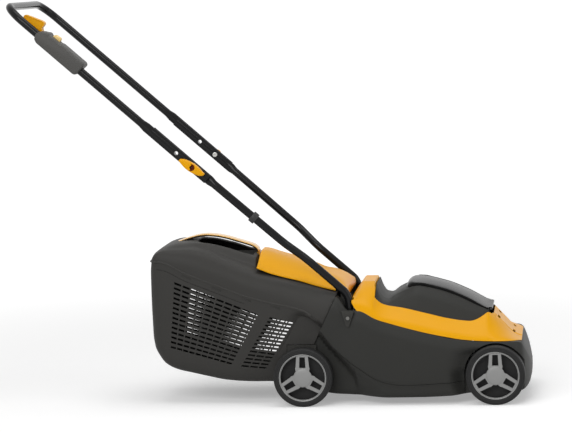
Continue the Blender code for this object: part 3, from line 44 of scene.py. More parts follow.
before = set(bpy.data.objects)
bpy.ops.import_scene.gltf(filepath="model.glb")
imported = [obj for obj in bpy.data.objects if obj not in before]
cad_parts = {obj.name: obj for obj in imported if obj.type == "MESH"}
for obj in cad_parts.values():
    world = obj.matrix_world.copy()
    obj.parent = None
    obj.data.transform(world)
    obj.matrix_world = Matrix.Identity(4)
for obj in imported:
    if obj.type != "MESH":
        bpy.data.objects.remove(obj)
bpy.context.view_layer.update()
log = logging.getLogger("mower")


def mm(*rows: object) -> tuple:
    """Numbers in millimetres, in tuples of any depth, as metres."""
    return tuple(mm(*row) if isinstance(row, tuple) else round(row / 1000, 7) for row in rows)


ROOT_SHIFT = 0.07329
# Clearance between pieces, wall of a moulded shell, and a Y beyond either side
GAP = 0.0003
WALL = 0.003
BEYOND = 0.25
RIGHTWARDS = Vector((0.0, -1.0, 0.0))
# How far the hollow of a shell reaches below its floor, and a groove's tool above the skin
HOLLOW_DROP = 0.002
TOOL_PROUD = 0.004
WHEELBASE = 0.456
WHEEL_RADIUS = 0.07
RIB_OUTER_Y = 0.14
BLADE_X = 0.245
CHAMBER_RADIUS = 0.168
CHAMBER_TOP = 0.085
BAY_FLOOR = 0.092
PIVOT = Vector((-0.244, 0.0, 0.579))
LEG_ANGLE = radians(138.2)
LEG_LENGTH = 0.581
HANDLE_HALF = 0.2
LOWER_TOP_Y = 0.1885
LOWER_LOW_Y = 0.138
TUBE_RADIUS = 0.0095
FLAT_TALL = 0.0117
FLAT_THIN = 0.0055
SOCKET_X = 0.112
LID_HINGE = Vector((0.4455, 0.0, 0.214))
FLAP_HINGE = Vector((0.098, 0.0, 0.262))

DECK_EDGE = mm(
    (20, 262), (83, 258), (97, 241), (108, 226.5), (130, 226.5), (182, 202.5), (242, 184.5), (302, 168.5),
    (362, 155.5), (422, 148.5), (466, 146.5), (500, 146.2), (510, 145.5), (518, 141.5), (523.5, 131), (528.5, 119),
    (533, 107), (536.5, 94), (540, 80),
)
SEAM_LOW = (0.0255, 0.1435)
SEAM_TOP = (0.0825, 0.262)


class Side(Enum):
    """The two sides of the mower, by the sign of their Y."""

    RIGHT = -1
    LEFT = 1

    @property
    def word(self) -> str:
        """Name of the side in piece names."""
        return self.name.lower()

    def span(self, near: float, far: float) -> tuple[float, float]:
        """Y of two distances from the middle on this side, the lower one first."""
        low, high = sorted((self.value * near, self.value * far))
        return low, high


class SmoothTable:
    """Rows of numbers, read as smooth columns over their first entry without overshoot."""

    def __init__(self, rows: Sequence[Sequence[float]]) -> None:
        """Keep the rows as columns, with a slope at each row.

        Args:
            rows: Rows that share one length, in rising order of their first entry.
        """
        self.knots = [row[0] for row in rows]
        self.columns = [list(column) for column in zip(*[row[1:] for row in rows])]
        self.slopes = [self._slopes(column) for column in self.columns]

    def _slopes(self, column: Sequence[float]) -> list[float]:
        """Slope of one column at each row.

        Args:
            column: Values of one column.

        Returns:
            A slope for each row.
        """
        steps = [b - a for a, b in zip(self.knots, self.knots[1:])]
        rises = [(b - a) / h for a, b, h in zip(column, column[1:], steps)]
        slopes = [rises[0]]
        for k in range(1, len(rises)):
            before, after = rises[k - 1], rises[k]
            if before * after <= 0.0:
                slopes.append(0.0)
                continue
            near = 2 * steps[k] + steps[k - 1]
            far = steps[k] + 2 * steps[k - 1]
            slopes.append((near + far) / (near / before + far / after))
        slopes.append(rises[-1])
        return slopes

    def at(self, place: float) -> tuple[float, ...]:
        """Values of all columns at one place.

        Args:
            place: Where the rows are read.

        Returns:
            One value for each column.
        """
        last = len(self.knots) - 2
        k = min(max(bisect_right(self.knots, place) - 1, 0), last)
        width = self.knots[k + 1] - self.knots[k]
        t = min(max((place - self.knots[k]) / width, 0.0), 1.0)
        start = (1 + 2 * t) * (1 - t) ** 2
        start_slope = t * (1 - t) ** 2
        end = t * t * (3 - 2 * t)
        end_slope = t * t * (t - 1)
        return tuple(
            start * column[k] + end * column[k + 1] + width * (start_slope * slope[k] + end_slope * slope[k + 1])
            for column, slope in zip(self.columns, self.slopes)
        )


def smooth_path(points: Sequence[Sequence[float]], count: int) -> list[tuple[float, ...]]:
    """Evenly spaced points on the smooth line through the given points.

    Args:
        points: Places in the plane or in space.
        count: Number of points to return, both ends included.

    Returns:
        The points, as tuples as long as those given.
    """
    travelled = [0.0]
    for before, after in zip(points, points[1:]):
        travelled.append(travelled[-1] + max(hypot(*(b - a for a, b in zip(before, after))), 1e-6))
    table = SmoothTable([(far, *point) for far, point in zip(travelled, points)])
    return [table.at(travelled[-1] * k / (count - 1)) for k in range(count)]


def spread(knots: Sequence[float], pitch: float) -> list[float]:
    """The knots, with evenly spaced values between them no further apart than the pitch.

    Args:
        knots: Values in rising order.
        pitch: The largest step.

    Returns:
        All values, the knots among them.
    """
    values = [knots[0]]
    for low, high in zip(knots, knots[1:]):
        steps = max(1, ceil((high - low) / pitch))
        values += [low + (high - low) * (k + 1) / steps for k in range(steps)]
    return values


def read_line(line: Line, x: float) -> float:
    """Height of a polyline of (x, z) points at x.

    Args:
        line: Points in rising x.
        x: Where the line is read.

    Returns:
        The height.
    """
    for (x0, z0), (x1, z1) in zip(line, line[1:]):
        if x0 <= x <= x1:
            return z0 + (z1 - z0) * (x - x0) / (x1 - x0)
    return line[0][1] if x < line[0][0] else line[-1][1]


def ease(low: float, high: float, value: float) -> float:
    """0 below low, 1 above high, and a smooth rise between them; low may be the larger."""
    t = min(max((value - low) / (high - low), 0.0), 1.0)
    return t * t * (3 - 2 * t)


def mirrored(half: Line) -> list[Point2]:
    """Full ring of (y, z) from a half that starts and ends on the middle plane."""
    return list(half) + [(-y, z) for y, z in reversed(half[1:-1])]


def on_leg(along: float, up: float, y: float) -> Vector:
    """Point in the handle leg's frame: along the leg from the fold axis, and above it.

    Args:
        along: Distance from the fold axis.
        up: Distance above the leg.
        y: Place across.

    Returns:
        The point.
    """
    along_dir = Vector((cos(LEG_ANGLE), 0.0, sin(LEG_ANGLE)))
    up_dir = Vector((sin(LEG_ANGLE), 0.0, -cos(LEG_ANGLE)))
    return PIVOT + along_dir * along + up_dir * up + Vector((0.0, y, 0.0))


def arc(centre: Point2, radius: float, start: float, end: float, count: int) -> list[Point2]:
    """Points of a circle's arc, from one angle to another in degrees."""
    angles = [radians(start + (end - start) * k / (count - 1)) for k in range(count)]
    return [(centre[0] + radius * cos(a), centre[1] + radius * sin(a)) for a in angles]


def arc_corner(before: Vector, corner: Vector, after: Vector, radius: float, steps: int) -> list[Vector]:
    """Points of the arc that rounds one corner of a path.

    Args:
        before: Point before the corner.
        corner: The corner.
        after: Point after it.
        radius: Radius of the arc.
        steps: Number of its steps.

    Returns:
        Points of the arc.
    """
    a = (before - corner).normalized()
    b = (after - corner).normalized()
    half = a.angle(b) / 2
    reach = radius * cos(half) / sin(half)
    centre = corner + (a + b).normalized() * (radius / sin(half))
    start = corner + a * reach - centre
    end = corner + b * reach - centre
    swing = start.angle(end)
    turn_axis = start.cross(end).normalized()
    return [centre + Matrix.Rotation(swing * k / steps, 3, turn_axis) @ start for k in range(steps + 1)]


def section_ring(x: float, half: Line) -> Ring:
    """Full ring at x from the (y, z) points of its half."""
    return [Vector((x, y, z)) for y, z in mirrored(half)]


def pick_all() -> None:
    """Select everything in edit mode."""
    bpy.ops.mesh.select_all(action="SELECT")


def take(piece: Piece) -> None:
    """Select this piece alone and make it the active one.

    Args:
        piece: The piece.
    """
    bpy.ops.object.select_all(action="DESELECT")
    piece.select_set(True)
    bpy.context.view_layer.objects.active = piece


@contextmanager
def bench(piece: Piece, mode: str = "VERT") -> Iterator[bmesh.types.BMesh]:
    """Work on one piece in edit mode, with the given kind of selection.

    Args:
        piece: The piece.
        mode: Whether vertices, edges or faces are selected.

    Returns:
        Its mesh, for a with block.
    """
    take(piece)
    bpy.ops.object.mode_set(mode="EDIT")
    bpy.ops.mesh.select_mode(type=mode)
    mesh = bmesh.from_edit_mesh(piece.data)
    yield mesh
    bmesh.update_edit_mesh(piece.data)
    bpy.ops.object.mode_set(mode="OBJECT")


def loop_of(name: str, points: Sequence[Vector], fill: str = "NGON") -> Piece:
    """A circle whose points are pulled onto the given places.

    Args:
        name: Name of the piece.
        points: Place of each vertex.
        fill: How the loop is filled.

    Returns:
        The new piece.
    """
    bpy.ops.object.select_all(action="DESELECT")
    bpy.ops.mesh.primitive_circle_add(vertices=len(points), radius=0.05, fill_type=fill)
    piece = bpy.context.object
    piece.name = piece.data.name = name
    for vert, point in zip(piece.data.vertices, points):
        vert.co = point
    return piece


def loft(name: str, rings: Sequence[Ring], capped: bool = True) -> Piece:
    """A skin through rings of equal count, extruded from one to the next.

    Args:
        name: Name of the piece.
        rings: Rings of points in the same order.
        capped: Whether the two ends are closed.

    Returns:
        The new piece.
    """
    piece = loop_of(name, rings[0], "NGON" if capped else "NOTHING")
    with bench(piece) as mesh:
        order = mesh.verts.layers.int.new("order")
        for vert in mesh.verts:
            vert[order] = vert.index
        pick_all()
        for ring in rings[1:]:
            bpy.ops.mesh.extrude_region_move()
            mesh = bmesh.from_edit_mesh(piece.data)
            order = mesh.verts.layers.int["order"]
            for vert in mesh.verts:
                if vert.select:
                    vert.co = ring[vert[order]]
        pick_all()
        bpy.ops.mesh.normals_make_consistent(inside=False)
    return piece


def side_prism(name: str, outline: Line, low_y: float, high_y: float) -> Piece:
    """Outline of (x, z) points, drawn out along Y."""
    return loft(name, [[Vector((x, y, z)) for x, z in outline] for y in (low_y, high_y)])


def plan_prism(name: str, outline: Line, low_z: float, high_z: float) -> Piece:
    """Outline of (x, y) points, drawn out along Z."""
    return loft(name, [[Vector((x, y, z)) for x, y in outline] for z in (low_z, high_z)])


def through_prism(name: str, outline: Line, half: float = BEYOND) -> Piece:
    """Outline of (x, z) points, drawn out as far to the right as to the left."""
    return side_prism(name, outline, -half, half)


def rectangle(first: Point2, second: Point2) -> tuple[Point2, ...]:
    """Corners of the rectangle over two ranges."""
    return (first[0], second[0]), (first[1], second[0]), (first[1], second[1]), (first[0], second[1])


def block(name: str, low: Sequence[float], high: Sequence[float]) -> Piece:
    """Box between two corners."""
    return plan_prism(name, rectangle((low[0], high[0]), (low[1], high[1])), low[2], high[2])


def side_block(name: str, side: Side, along: Point2, away: Point2, up: Point2) -> Piece:
    """Box on one side, over ranges of x, of distance from the middle and of z."""
    right, left = side.span(*away)
    return block(name, (along[0], right, up[0]), (along[1], left, up[1]))


def turned(name: str, profile: Line, centre: Vector, axis: str, steps: int) -> Piece:
    """Spin a closed profile of (radius, distance along the axis) round an axis.

    Args:
        name: Name of the piece.
        profile: Closed profile.
        centre: A point on the axis.
        axis: Letter of the axis.
        steps: Number of steps round it.

    Returns:
        The new piece.
    """
    places = {"X": (1, 2, 0), "Y": (0, 1, 2), "Z": (0, 2, 1)}[axis]
    points = []
    for radius, along in profile:
        local = [0.0, 0.0, 0.0]
        local[places[0]] = radius
        local["XYZ".index(axis)] = along
        points.append(centre + Vector(local))
    piece = loop_of(name, points, "NOTHING")
    direction = [float(letter == axis) for letter in "XYZ"]
    with bench(piece):
        pick_all()
        bpy.ops.mesh.spin(steps=steps, angle=2 * pi, center=centre, axis=direction)
        pick_all()
        bpy.ops.mesh.remove_doubles(threshold=1e-6)
        bpy.ops.mesh.delete_loose()
        pick_all()
        bpy.ops.mesh.normals_make_consistent(inside=False)
    return piece


def turned_side(name: str, profile: Line, side: Side, centre: Vector, steps: int) -> Piece:
    """Turned piece round an axis along Y, whose profile is given for the left side."""
    return turned(name, [(radius, side.value * y) for radius, y in profile], centre, "Y", steps)


def rod(
    name: str, radius: float, low: float, high: float, centre: Vector, axis: str = "Y", steps: int = 32,
) -> Piece:
    """Solid round bar between two distances along an axis."""
    return turned(name, ((0.0, low), (radius, low), (radius, high), (0.0, high)), centre, axis, steps)


def joined(pieces: Sequence[Piece]) -> Piece:
    """Join several pieces into the first.

    Args:
        pieces: The pieces.

    Returns:
        The first piece.
    """
    take(pieces[0])
    for piece in pieces[1:]:
        piece.select_set(True)
    bpy.ops.object.join()
    return pieces[0]


def modify(piece: Piece, kind: str, **values: object) -> None:
    """Add a modifier with the given settings and apply it.

    Args:
        piece: The piece.
        kind: Type of the modifier.
        values: Its settings.
    """
    take(piece)
    modifier = piece.modifiers.new(kind.lower(), kind)
    for key, value in values.items():
        setattr(modifier, key, value)
    bpy.ops.object.modifier_apply(modifier=modifier.name)


def carve(
    piece: Piece, tools: Sequence[Piece], operation: str = "DIFFERENCE", solver: str = "EXACT",
) -> None:
    """Cut the tools from the piece, or join or keep them, and remove the tools.

    Args:
        piece: The piece.
        tools: The tools, in order.
        operation: What each tool does.
        solver: How it is worked out.
    """
    for tool in tools:
        modify(piece, "BOOLEAN", operation=operation, solver=solver, object=tool)
        bpy.data.objects.remove(tool, do_unlink=True)


def hollow_shell(
    name: str, places: Sequence[float], section: Callable[[float, float, float], Ring],
) -> Piece:
    """A shell through sections along X, open below, with a wall all round and at both ends.

    Args:
        name: Name of the piece.
        places: X of each section.
        section: Gives a ring from the place of its sizes, the x it stands at and its inset.

    Returns:
        The new piece.
    """
    end_shifts = {0: WALL, len(places) - 1: -WALL}
    piece = loft(name, [section(x, x, 0.0) for x in places])
    hollow = [section(x, x + end_shifts.get(index, 0.0), WALL) for index, x in enumerate(places)]
    carve(piece, [loft("hollow", hollow)])
    return piece


def groove_ring(side: Side, place: Sequence[float], wide: Point2, narrow: Point2, deep: float) -> Ring:
    """Section of a groove's tool, from above the skin to the groove's bottom.

    Args:
        side: The side that is grooved.
        place: x, distance from the middle and z of the skin.
        wide: Half of the outer edge, in x and z.
        narrow: Half of the bottom, in x and z.
        deep: Depth of the groove.

    Returns:
        Four points.
    """
    x, half, z = place
    out = side.value * (half + TOOL_PROUD)
    bottom = side.value * (half - deep)
    return [
        Vector((x - wide[0], out, z - wide[1])), Vector((x + wide[0], out, z + wide[1])),
        Vector((x + narrow[0], bottom, z + narrow[1])), Vector((x - narrow[0], bottom, z - narrow[1])),
    ]


def soften(piece: Piece, width: float, segments: int = 2, angle: float = 40.0) -> None:
    """Round the piece's hard edges.

    Args:
        piece: The piece.
        width: Width of the rounding.
        segments: Steps across it.
        angle: Least angle of an edge, in degrees.
    """
    modify(
        piece, "BEVEL", width=width, segments=segments, limit_method="ANGLE",
        angle_limit=radians(angle), use_clamp_overlap=True,
    )


def tube_rings(path: Sequence[Vector], sizes: Line, first_side: Vector, sides: int) -> list[Ring]:
    """Oval rings along a path; sizes are (across, along the first side) half sizes.

    Args:
        path: Points of the middle line.
        sizes: Half sizes at each point.
        first_side: Direction of the second half size at the start.
        sides: Points of a ring.

    Returns:
        The rings.
    """
    side = first_side.normalized()
    rings = []
    for i, point in enumerate(path):
        before = path[i] - path[i - 1] if i else path[1] - path[0]
        after = path[i + 1] - path[i] if i + 1 < len(path) else before
        tangent = (before.normalized() + after.normalized()).normalized()
        side = (side - tangent * side.dot(tangent)).normalized()
        up = tangent.cross(side)
        tall, thin = sizes[i]
        angles = [2 * pi * k / sides for k in range(sides)]
        rings.append([point + up * tall * cos(a) + side * thin * sin(a) for a in angles])
    return rings


def settle(
    piece: Piece, body: str, look: bpy.types.Material,
    nodes: Sequence[str] = (), smooth: float = 32.0,
) -> Piece:
    """Shade a finished piece, shift it into the frame and hang it on its body.

    Args:
        piece: The finished piece.
        body: The CAD body that carries it.
        look: Its material.
        nodes: CAD nodes that it stands for.
        smooth: Angle below which edges are shaded smooth.

    Returns:
        The same piece.
    """
    take(piece)
    bpy.ops.object.shade_smooth_by_angle(angle=radians(smooth))
    piece.data.transform(Matrix.Translation((ROOT_SHIFT, 0.0, 0.0)))
    piece.data.materials.clear()
    piece.data.materials.append(look)
    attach(piece, body)
    if nodes:
        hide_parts(*nodes)
    log.info("%s rides on %s, %d faces", piece.name, body, len(piece.data.polygons))
    return piece


class NodeSheet:
    """Adds nodes to one tree and wires them."""

    def __init__(self, tree: bpy.types.NodeTree) -> None:
        """Keep the tree that is worked on."""
        self.tree = tree

    def add(self, kind: str, **values: object) -> bpy.types.Node:
        """New node of a kind, with its properties set.

        Args:
            kind: Type of node.
            values: Its properties.

        Returns:
            The new node.
        """
        node = self.tree.nodes.new(f"ShaderNode{kind}")
        for key, value in values.items():
            setattr(node, key, value)
        return node

    def wire(self, source: bpy.types.NodeSocket, target: bpy.types.NodeSocket) -> None:
        """Link an output to an input."""
        self.tree.links.new(source, target)

    def math(self, operation: str, first: object, second: object = 0.0, clamp: bool = False) -> bpy.types.NodeSocket:
        """Result of a Math node whose two inputs are numbers or sockets.

        Args:
            operation: What is worked out.
            first: First input.
            second: Second input.
            clamp: Whether the result is held between 0 and 1.

        Returns:
            The result.
        """
        node = self.add("Math", operation=operation, use_clamp=clamp)
        for socket, value in zip(node.inputs, (first, second)):
            if isinstance(value, bpy.types.NodeSocket):
                self.wire(value, socket)
            else:
                socket.default_value = value
        return node.outputs[0]


def new_group(
    name: str, inputs: dict[str, float], outputs: dict[str, str],
) -> tuple[NodeSheet, bpy.types.Node, bpy.types.Node]:
    """Empty shader node group with float inputs and typed outputs.

    Args:
        name: Name of the group.
        inputs: Name and default of each input.
        outputs: Name and type of each output.

    Returns:
        The group's sheet, its input node and its output node.
    """
    tree = bpy.data.node_groups.new(name, "ShaderNodeTree")
    for label, value in inputs.items():
        socket = tree.interface.new_socket(label, in_out="INPUT", socket_type="NodeSocketFloat")
        socket.default_value = value
    for label, kind in outputs.items():
        tree.interface.new_socket(label, in_out="OUTPUT", socket_type=kind)
    sheet = NodeSheet(tree)
    return sheet, tree.nodes.new("NodeGroupInput"), tree.nodes.new("NodeGroupOutput")


def grain_group() -> bpy.types.NodeTree:
    """Fine moulded grain: a height, and a slow cloud that varies tone and gloss.

    Returns:
        The group.
    """
    sheet, given, made = new_group(
        "moulded grain", {"Grain per metre": 1400.0, "Cloud per metre": 9.0},
        {"Height": "NodeSocketFloat", "Cloud": "NodeSocketFloat", "Speck": "NodeSocketFloat"},
    )
    place = sheet.add("TexCoord").outputs["Object"]
    fine = sheet.add("TexNoise", noise_dimensions="3D")
    fine.inputs["Detail"].default_value = 2.0
    cells = sheet.add("TexVoronoi", feature="SMOOTH_F1")
    cloud = sheet.add("TexNoise", noise_dimensions="3D")
    cloud.inputs["Detail"].default_value = 4.0
    coarser = sheet.math("MULTIPLY", given.outputs[0], 0.55)
    for node, rate in ((fine, given.outputs[0]), (cells, coarser), (cloud, given.outputs[1])):
        sheet.wire(place, node.inputs["Vector"])
        sheet.wire(rate, node.inputs["Scale"])
    fine_share = sheet.math("MULTIPLY", fine.outputs[0], 0.6)
    cell_share = sheet.math("MULTIPLY", cells.outputs["Distance"], 0.7)
    sheet.wire(sheet.math("ADD", fine_share, cell_share), made.inputs["Height"])
    sheet.wire(cloud.outputs[0], made.inputs["Cloud"])
    sheet.wire(fine.outputs[0], made.inputs["Speck"])
    return sheet.tree


def wear_group() -> bpy.types.NodeTree:
    """Edge mask from how convex the surface is, broken up by noise.

    Returns:
        The group.
    """
    flat, sharpness, least_noise = 0.53, 9.0, 0.25
    sheet, given, made = new_group(
        "edge wear", {"Amount": 0.5, "Break up per metre": 180.0}, {"Mask": "NodeSocketFloat"},
    )
    convex = sheet.add("NewGeometry").outputs["Pointiness"]
    noise = sheet.add("TexNoise")
    sheet.wire(sheet.add("TexCoord").outputs["Object"], noise.inputs["Vector"])
    sheet.wire(given.outputs[1], noise.inputs["Scale"])
    edge = sheet.math("MULTIPLY", sheet.math("SUBTRACT", convex, flat), sharpness, clamp=True)
    broken = sheet.math("MULTIPLY", edge, sheet.math("ADD", noise.outputs[0], least_noise))
    sheet.wire(sheet.math("MULTIPLY", broken, given.outputs[0], clamp=True), made.inputs["Mask"])
    return sheet.tree


def brush_group() -> bpy.types.NodeTree:
    """Fine straight lines along X, from noise stretched along X.

    Returns:
        The group.
    """
    sheet, given, made = new_group("machined lines", {"Lines per metre": 3000.0}, {"Height": "NodeSocketFloat"})
    place = sheet.add("TexCoord").outputs["Object"]
    stretch = sheet.add("Mapping")
    stretch.inputs["Scale"].default_value = (0.02, 1.0, 1.0)
    sheet.wire(place, stretch.inputs["Vector"])
    lines = sheet.add("TexNoise")
    lines.inputs["Detail"].default_value = 1.0
    sheet.wire(stretch.outputs[0], lines.inputs["Vector"])
    sheet.wire(given.outputs[0], lines.inputs["Scale"])
    sheet.wire(lines.outputs[0], made.inputs["Height"])
    return sheet.tree


class Effects:
    """The shared node groups, built on first use."""

    def __init__(self) -> None:
        """Build each group once."""
        self.grain = grain_group()
        self.wear = wear_group()
        self.brush = brush_group()


@dataclass(frozen=True)
class Finish:
    """One surface finish: moulded plastic, paint or metal with its own grain and wear."""

    name: str
    colour: tuple[float, float, float]
    roughness: float
    metallic: float = 0.0
    coat: float = 0.0
    coat_roughness: float = 0.08
    specular: float = 0.5
    grain_per_metre: float = 1400.0
    grain_depth: float = 0.00006
    tone_swing: float = 0.1
    gloss_swing: float = 0.08
    wear: float = 0.25
    scuff_gloss: float = 0.2
    wear_colour: tuple[float, float, float] = (0.3, 0.3, 0.29)
    brushed: bool = False
    edge_radius: float = 0.0

    def build(self, effects: Effects) -> bpy.types.Material:
        """Material with this finish.

        Args:
            effects: The shared node groups.

        Returns:
            The new material.
        """
        material = bpy.data.materials.new(self.name)
        material.use_nodes = True
        sheet = NodeSheet(material.node_tree)
        shader = material.node_tree.nodes["Principled BSDF"]
        shader.inputs["Metallic"].default_value = self.metallic
        shader.inputs["Coat Weight"].default_value = self.coat
        shader.inputs["Coat Roughness"].default_value = self.coat_roughness
        shader.inputs["Specular IOR Level"].default_value = self.specular
        grain = sheet.add("Group", node_tree=effects.grain)
        grain.inputs[0].default_value = self.grain_per_metre
        wear = sheet.add("Group", node_tree=effects.wear)
        wear.inputs[0].default_value = self.wear
        tone = sheet.add("Mix", data_type="RGBA")
        tone.inputs["A"].default_value = (*(c * (1 - self.tone_swing) for c in self.colour), 1.0)
        tone.inputs["B"].default_value = (*(min(c * (1 + self.tone_swing), 1.0) for c in self.colour), 1.0)
        sheet.wire(grain.outputs["Cloud"], tone.inputs["Factor"])
        worn = sheet.add("Mix", data_type="RGBA")
        worn.inputs["B"].default_value = (*self.wear_colour, 1.0)
        sheet.wire(wear.outputs["Mask"], worn.inputs["Factor"])
        sheet.wire(tone.outputs["Result"], worn.inputs["A"])
        sheet.wire(worn.outputs["Result"], shader.inputs["Base Color"])
        swing = sheet.math("MULTIPLY", sheet.math("SUBTRACT", grain.outputs["Cloud"], 0.5), 2 * self.gloss_swing)
        rough = sheet.math("ADD", swing, self.roughness)
        scuffed = sheet.math("MULTIPLY", wear.outputs["Mask"], self.scuff_gloss)
        sheet.wire(sheet.math("ADD", rough, scuffed, clamp=True), shader.inputs["Roughness"])
        bump = sheet.add("Bump")
        bump.inputs["Distance"].default_value = self.grain_depth
        height = grain.outputs["Height"]
        if self.brushed:
            lines = sheet.add("Group", node_tree=effects.brush)
            height = sheet.math("ADD", sheet.math("MULTIPLY", height, 0.3), lines.outputs["Height"])
        sheet.wire(height, bump.inputs["Height"])
        if self.edge_radius:
            edge = sheet.add("Bevel", samples=4)
            edge.inputs["Radius"].default_value = self.edge_radius
            sheet.wire(edge.outputs["Normal"], bump.inputs["Normal"])
        sheet.wire(bump.outputs["Normal"], shader.inputs["Normal"])
        return material


def linear(*display: int) -> tuple[float, ...]:
    """Scene-linear colour of an 8-bit display colour, by the sRGB curve."""
    shares = [value / 255 for value in display]
    return tuple(share / 12.92 if share <= 0.04045 else ((share + 0.055) / 1.055) ** 2.4 for share in shares)


class Paintbox:
    """Every material of the mower."""

    def __init__(self) -> None:
        """Build the finishes."""
        effects = Effects()
        soft_edge = {"edge_radius": 0.0009}
        finishes = (
            Finish("yellow_gloss", linear(232, 164, 6), 0.32, specular=0.12, grain_per_metre=260.0,
                   grain_depth=0.00003, tone_swing=0.04, gloss_swing=0.05, wear=0.1,
                   wear_colour=linear(250, 205, 110), **soft_edge),
            Finish("dark_plastic", linear(50, 50, 48), 0.5, specular=0.12, grain_depth=0.00007, tone_swing=0.09,
                   wear=0.2, wear_colour=linear(96, 94, 90), **soft_edge),
            Finish("catcher_plastic", linear(56, 55, 53), 0.54, specular=0.16, grain_depth=0.00007, tone_swing=0.08,
                   wear=0.2, wear_colour=linear(96, 94, 90), **soft_edge),
            Finish("lid_gloss", linear(26, 26, 26), 0.16, specular=0.02, grain_per_metre=300.0, grain_depth=0.00002,
                   tone_swing=0.06, wear=0.03, wear_colour=linear(90, 90, 90), **soft_edge),
            Finish("tube_paint", linear(22, 22, 23), 0.16, specular=0.16, grain_per_metre=420.0, grain_depth=0.00001,
                   tone_swing=0.05, gloss_swing=0.03, wear=0.02, wear_colour=linear(60, 60, 60), **soft_edge),
            Finish("tyre_plastic", linear(34, 34, 34), 0.62, specular=0.25, grain_per_metre=900.0, grain_depth=0.00008,
                   tone_swing=0.12, wear=0.25, wear_colour=linear(70, 70, 68), **soft_edge),
            Finish("trim_grey", linear(140, 140, 139), 0.36, metallic=0.25, specular=0.4, grain_per_metre=900.0,
                   grain_depth=0.00004, tone_swing=0.05, wear=0.1, wear_colour=linear(190, 190, 190), **soft_edge),
            Finish("switch_grey", linear(80, 79, 77), 0.52, specular=0.16, grain_per_metre=900.0, grain_depth=0.00002,
                   tone_swing=0.04, wear=0.02, **soft_edge),
            # Pale yellow of the lock button: its yellow painted pale as a highlight
            Finish("pale_yellow", linear(240, 206, 130), 0.32, specular=0.35, grain_per_metre=300.0,
                   grain_depth=0.00003, tone_swing=0.05, **soft_edge),
            # Red-brown in the knob's hole, on the bolt's end and the bore's walls: painted shade
            Finish("bolt_brown", linear(96, 34, 4), 0.5, specular=0.05, tone_swing=0.15),
            # Paler copy of the yellow for the strap's top: a painted highlight, with more gloss than the cowl
            Finish("strap_gloss", linear(236, 178, 60), 0.2, specular=0.45, coat=0.5, grain_per_metre=260.0,
                   grain_depth=0.00002, tone_swing=0.04, wear=0.05, **soft_edge),
            # Dark brown of the strap's sides and underside: painted shade on its yellow
            Finish("under_brown", linear(70, 48, 18), 0.5, specular=0.2, tone_swing=0.1),
            Finish("black_plastic", linear(30, 30, 31), 0.45, specular=0.3, grain_depth=0.00006, **soft_edge),
            Finish("screw_dark", linear(96, 95, 92), 0.45, metallic=0.6, specular=0.3, tone_swing=0.15),
            Finish("steel", linear(196, 196, 198), 0.28, metallic=1.0, brushed=True, grain_depth=0.00003),
            Finish("zinc", linear(172, 171, 167), 0.34, metallic=1.0, tone_swing=0.12, grain_per_metre=300.0),
            Finish("blade_steel", linear(110, 111, 114), 0.42, metallic=1.0, brushed=True, tone_swing=0.15, wear=0.5,
                   wear_colour=linear(190, 190, 192)),
            Finish("motor_can", linear(86, 87, 90), 0.4, metallic=0.85, brushed=True),
            Finish("brass", linear(218, 180, 110), 0.32, metallic=1.0, tone_swing=0.12),
            Finish("board_green", linear(28, 96, 52), 0.42, tone_swing=0.15, grain_per_metre=500.0),
            Finish("key_orange", linear(224, 100, 24), 0.38, coat=0.2),
        )
        self.looks = {finish.name: finish.build(effects) for finish in finishes}

    def __getitem__(self, name: str) -> bpy.types.Material:
        """Material of a finish, by its name."""
        return self.looks[name]


@dataclass
class SubAssembly:
    """What every sub-assembly holds."""

    paints: Paintbox


# CAD nodes that keep their own shape, by the finish that they get
KEPT_NODES = {
    "black_plastic": ("lid_pin", "battery_tray", "battery_pack", "key_socket", "blade_carrier", "micro_switch"),
    "brass": ("terminal_block",),
    "key_orange": ("safety_key",),
    "board_green": ("control_board",),
    "motor_can": ("motor",),
    "steel": ("motor_shaft", "flap_pin", "flap_spring", "lever_pin"),
    "blade_steel": ("cutting_blade",),
    "zinc": (
        "blade_bolt", "rear_axle", "front_axle", "cover_screw_1", "cover_screw_2", "cover_screw_3", "cover_screw_4",
        "motor_screw_1", "motor_screw_2", "box_screw_1", "box_screw_2",
    ),
    "screw_dark": ("handle_screw_right", "handle_screw_left"),
}


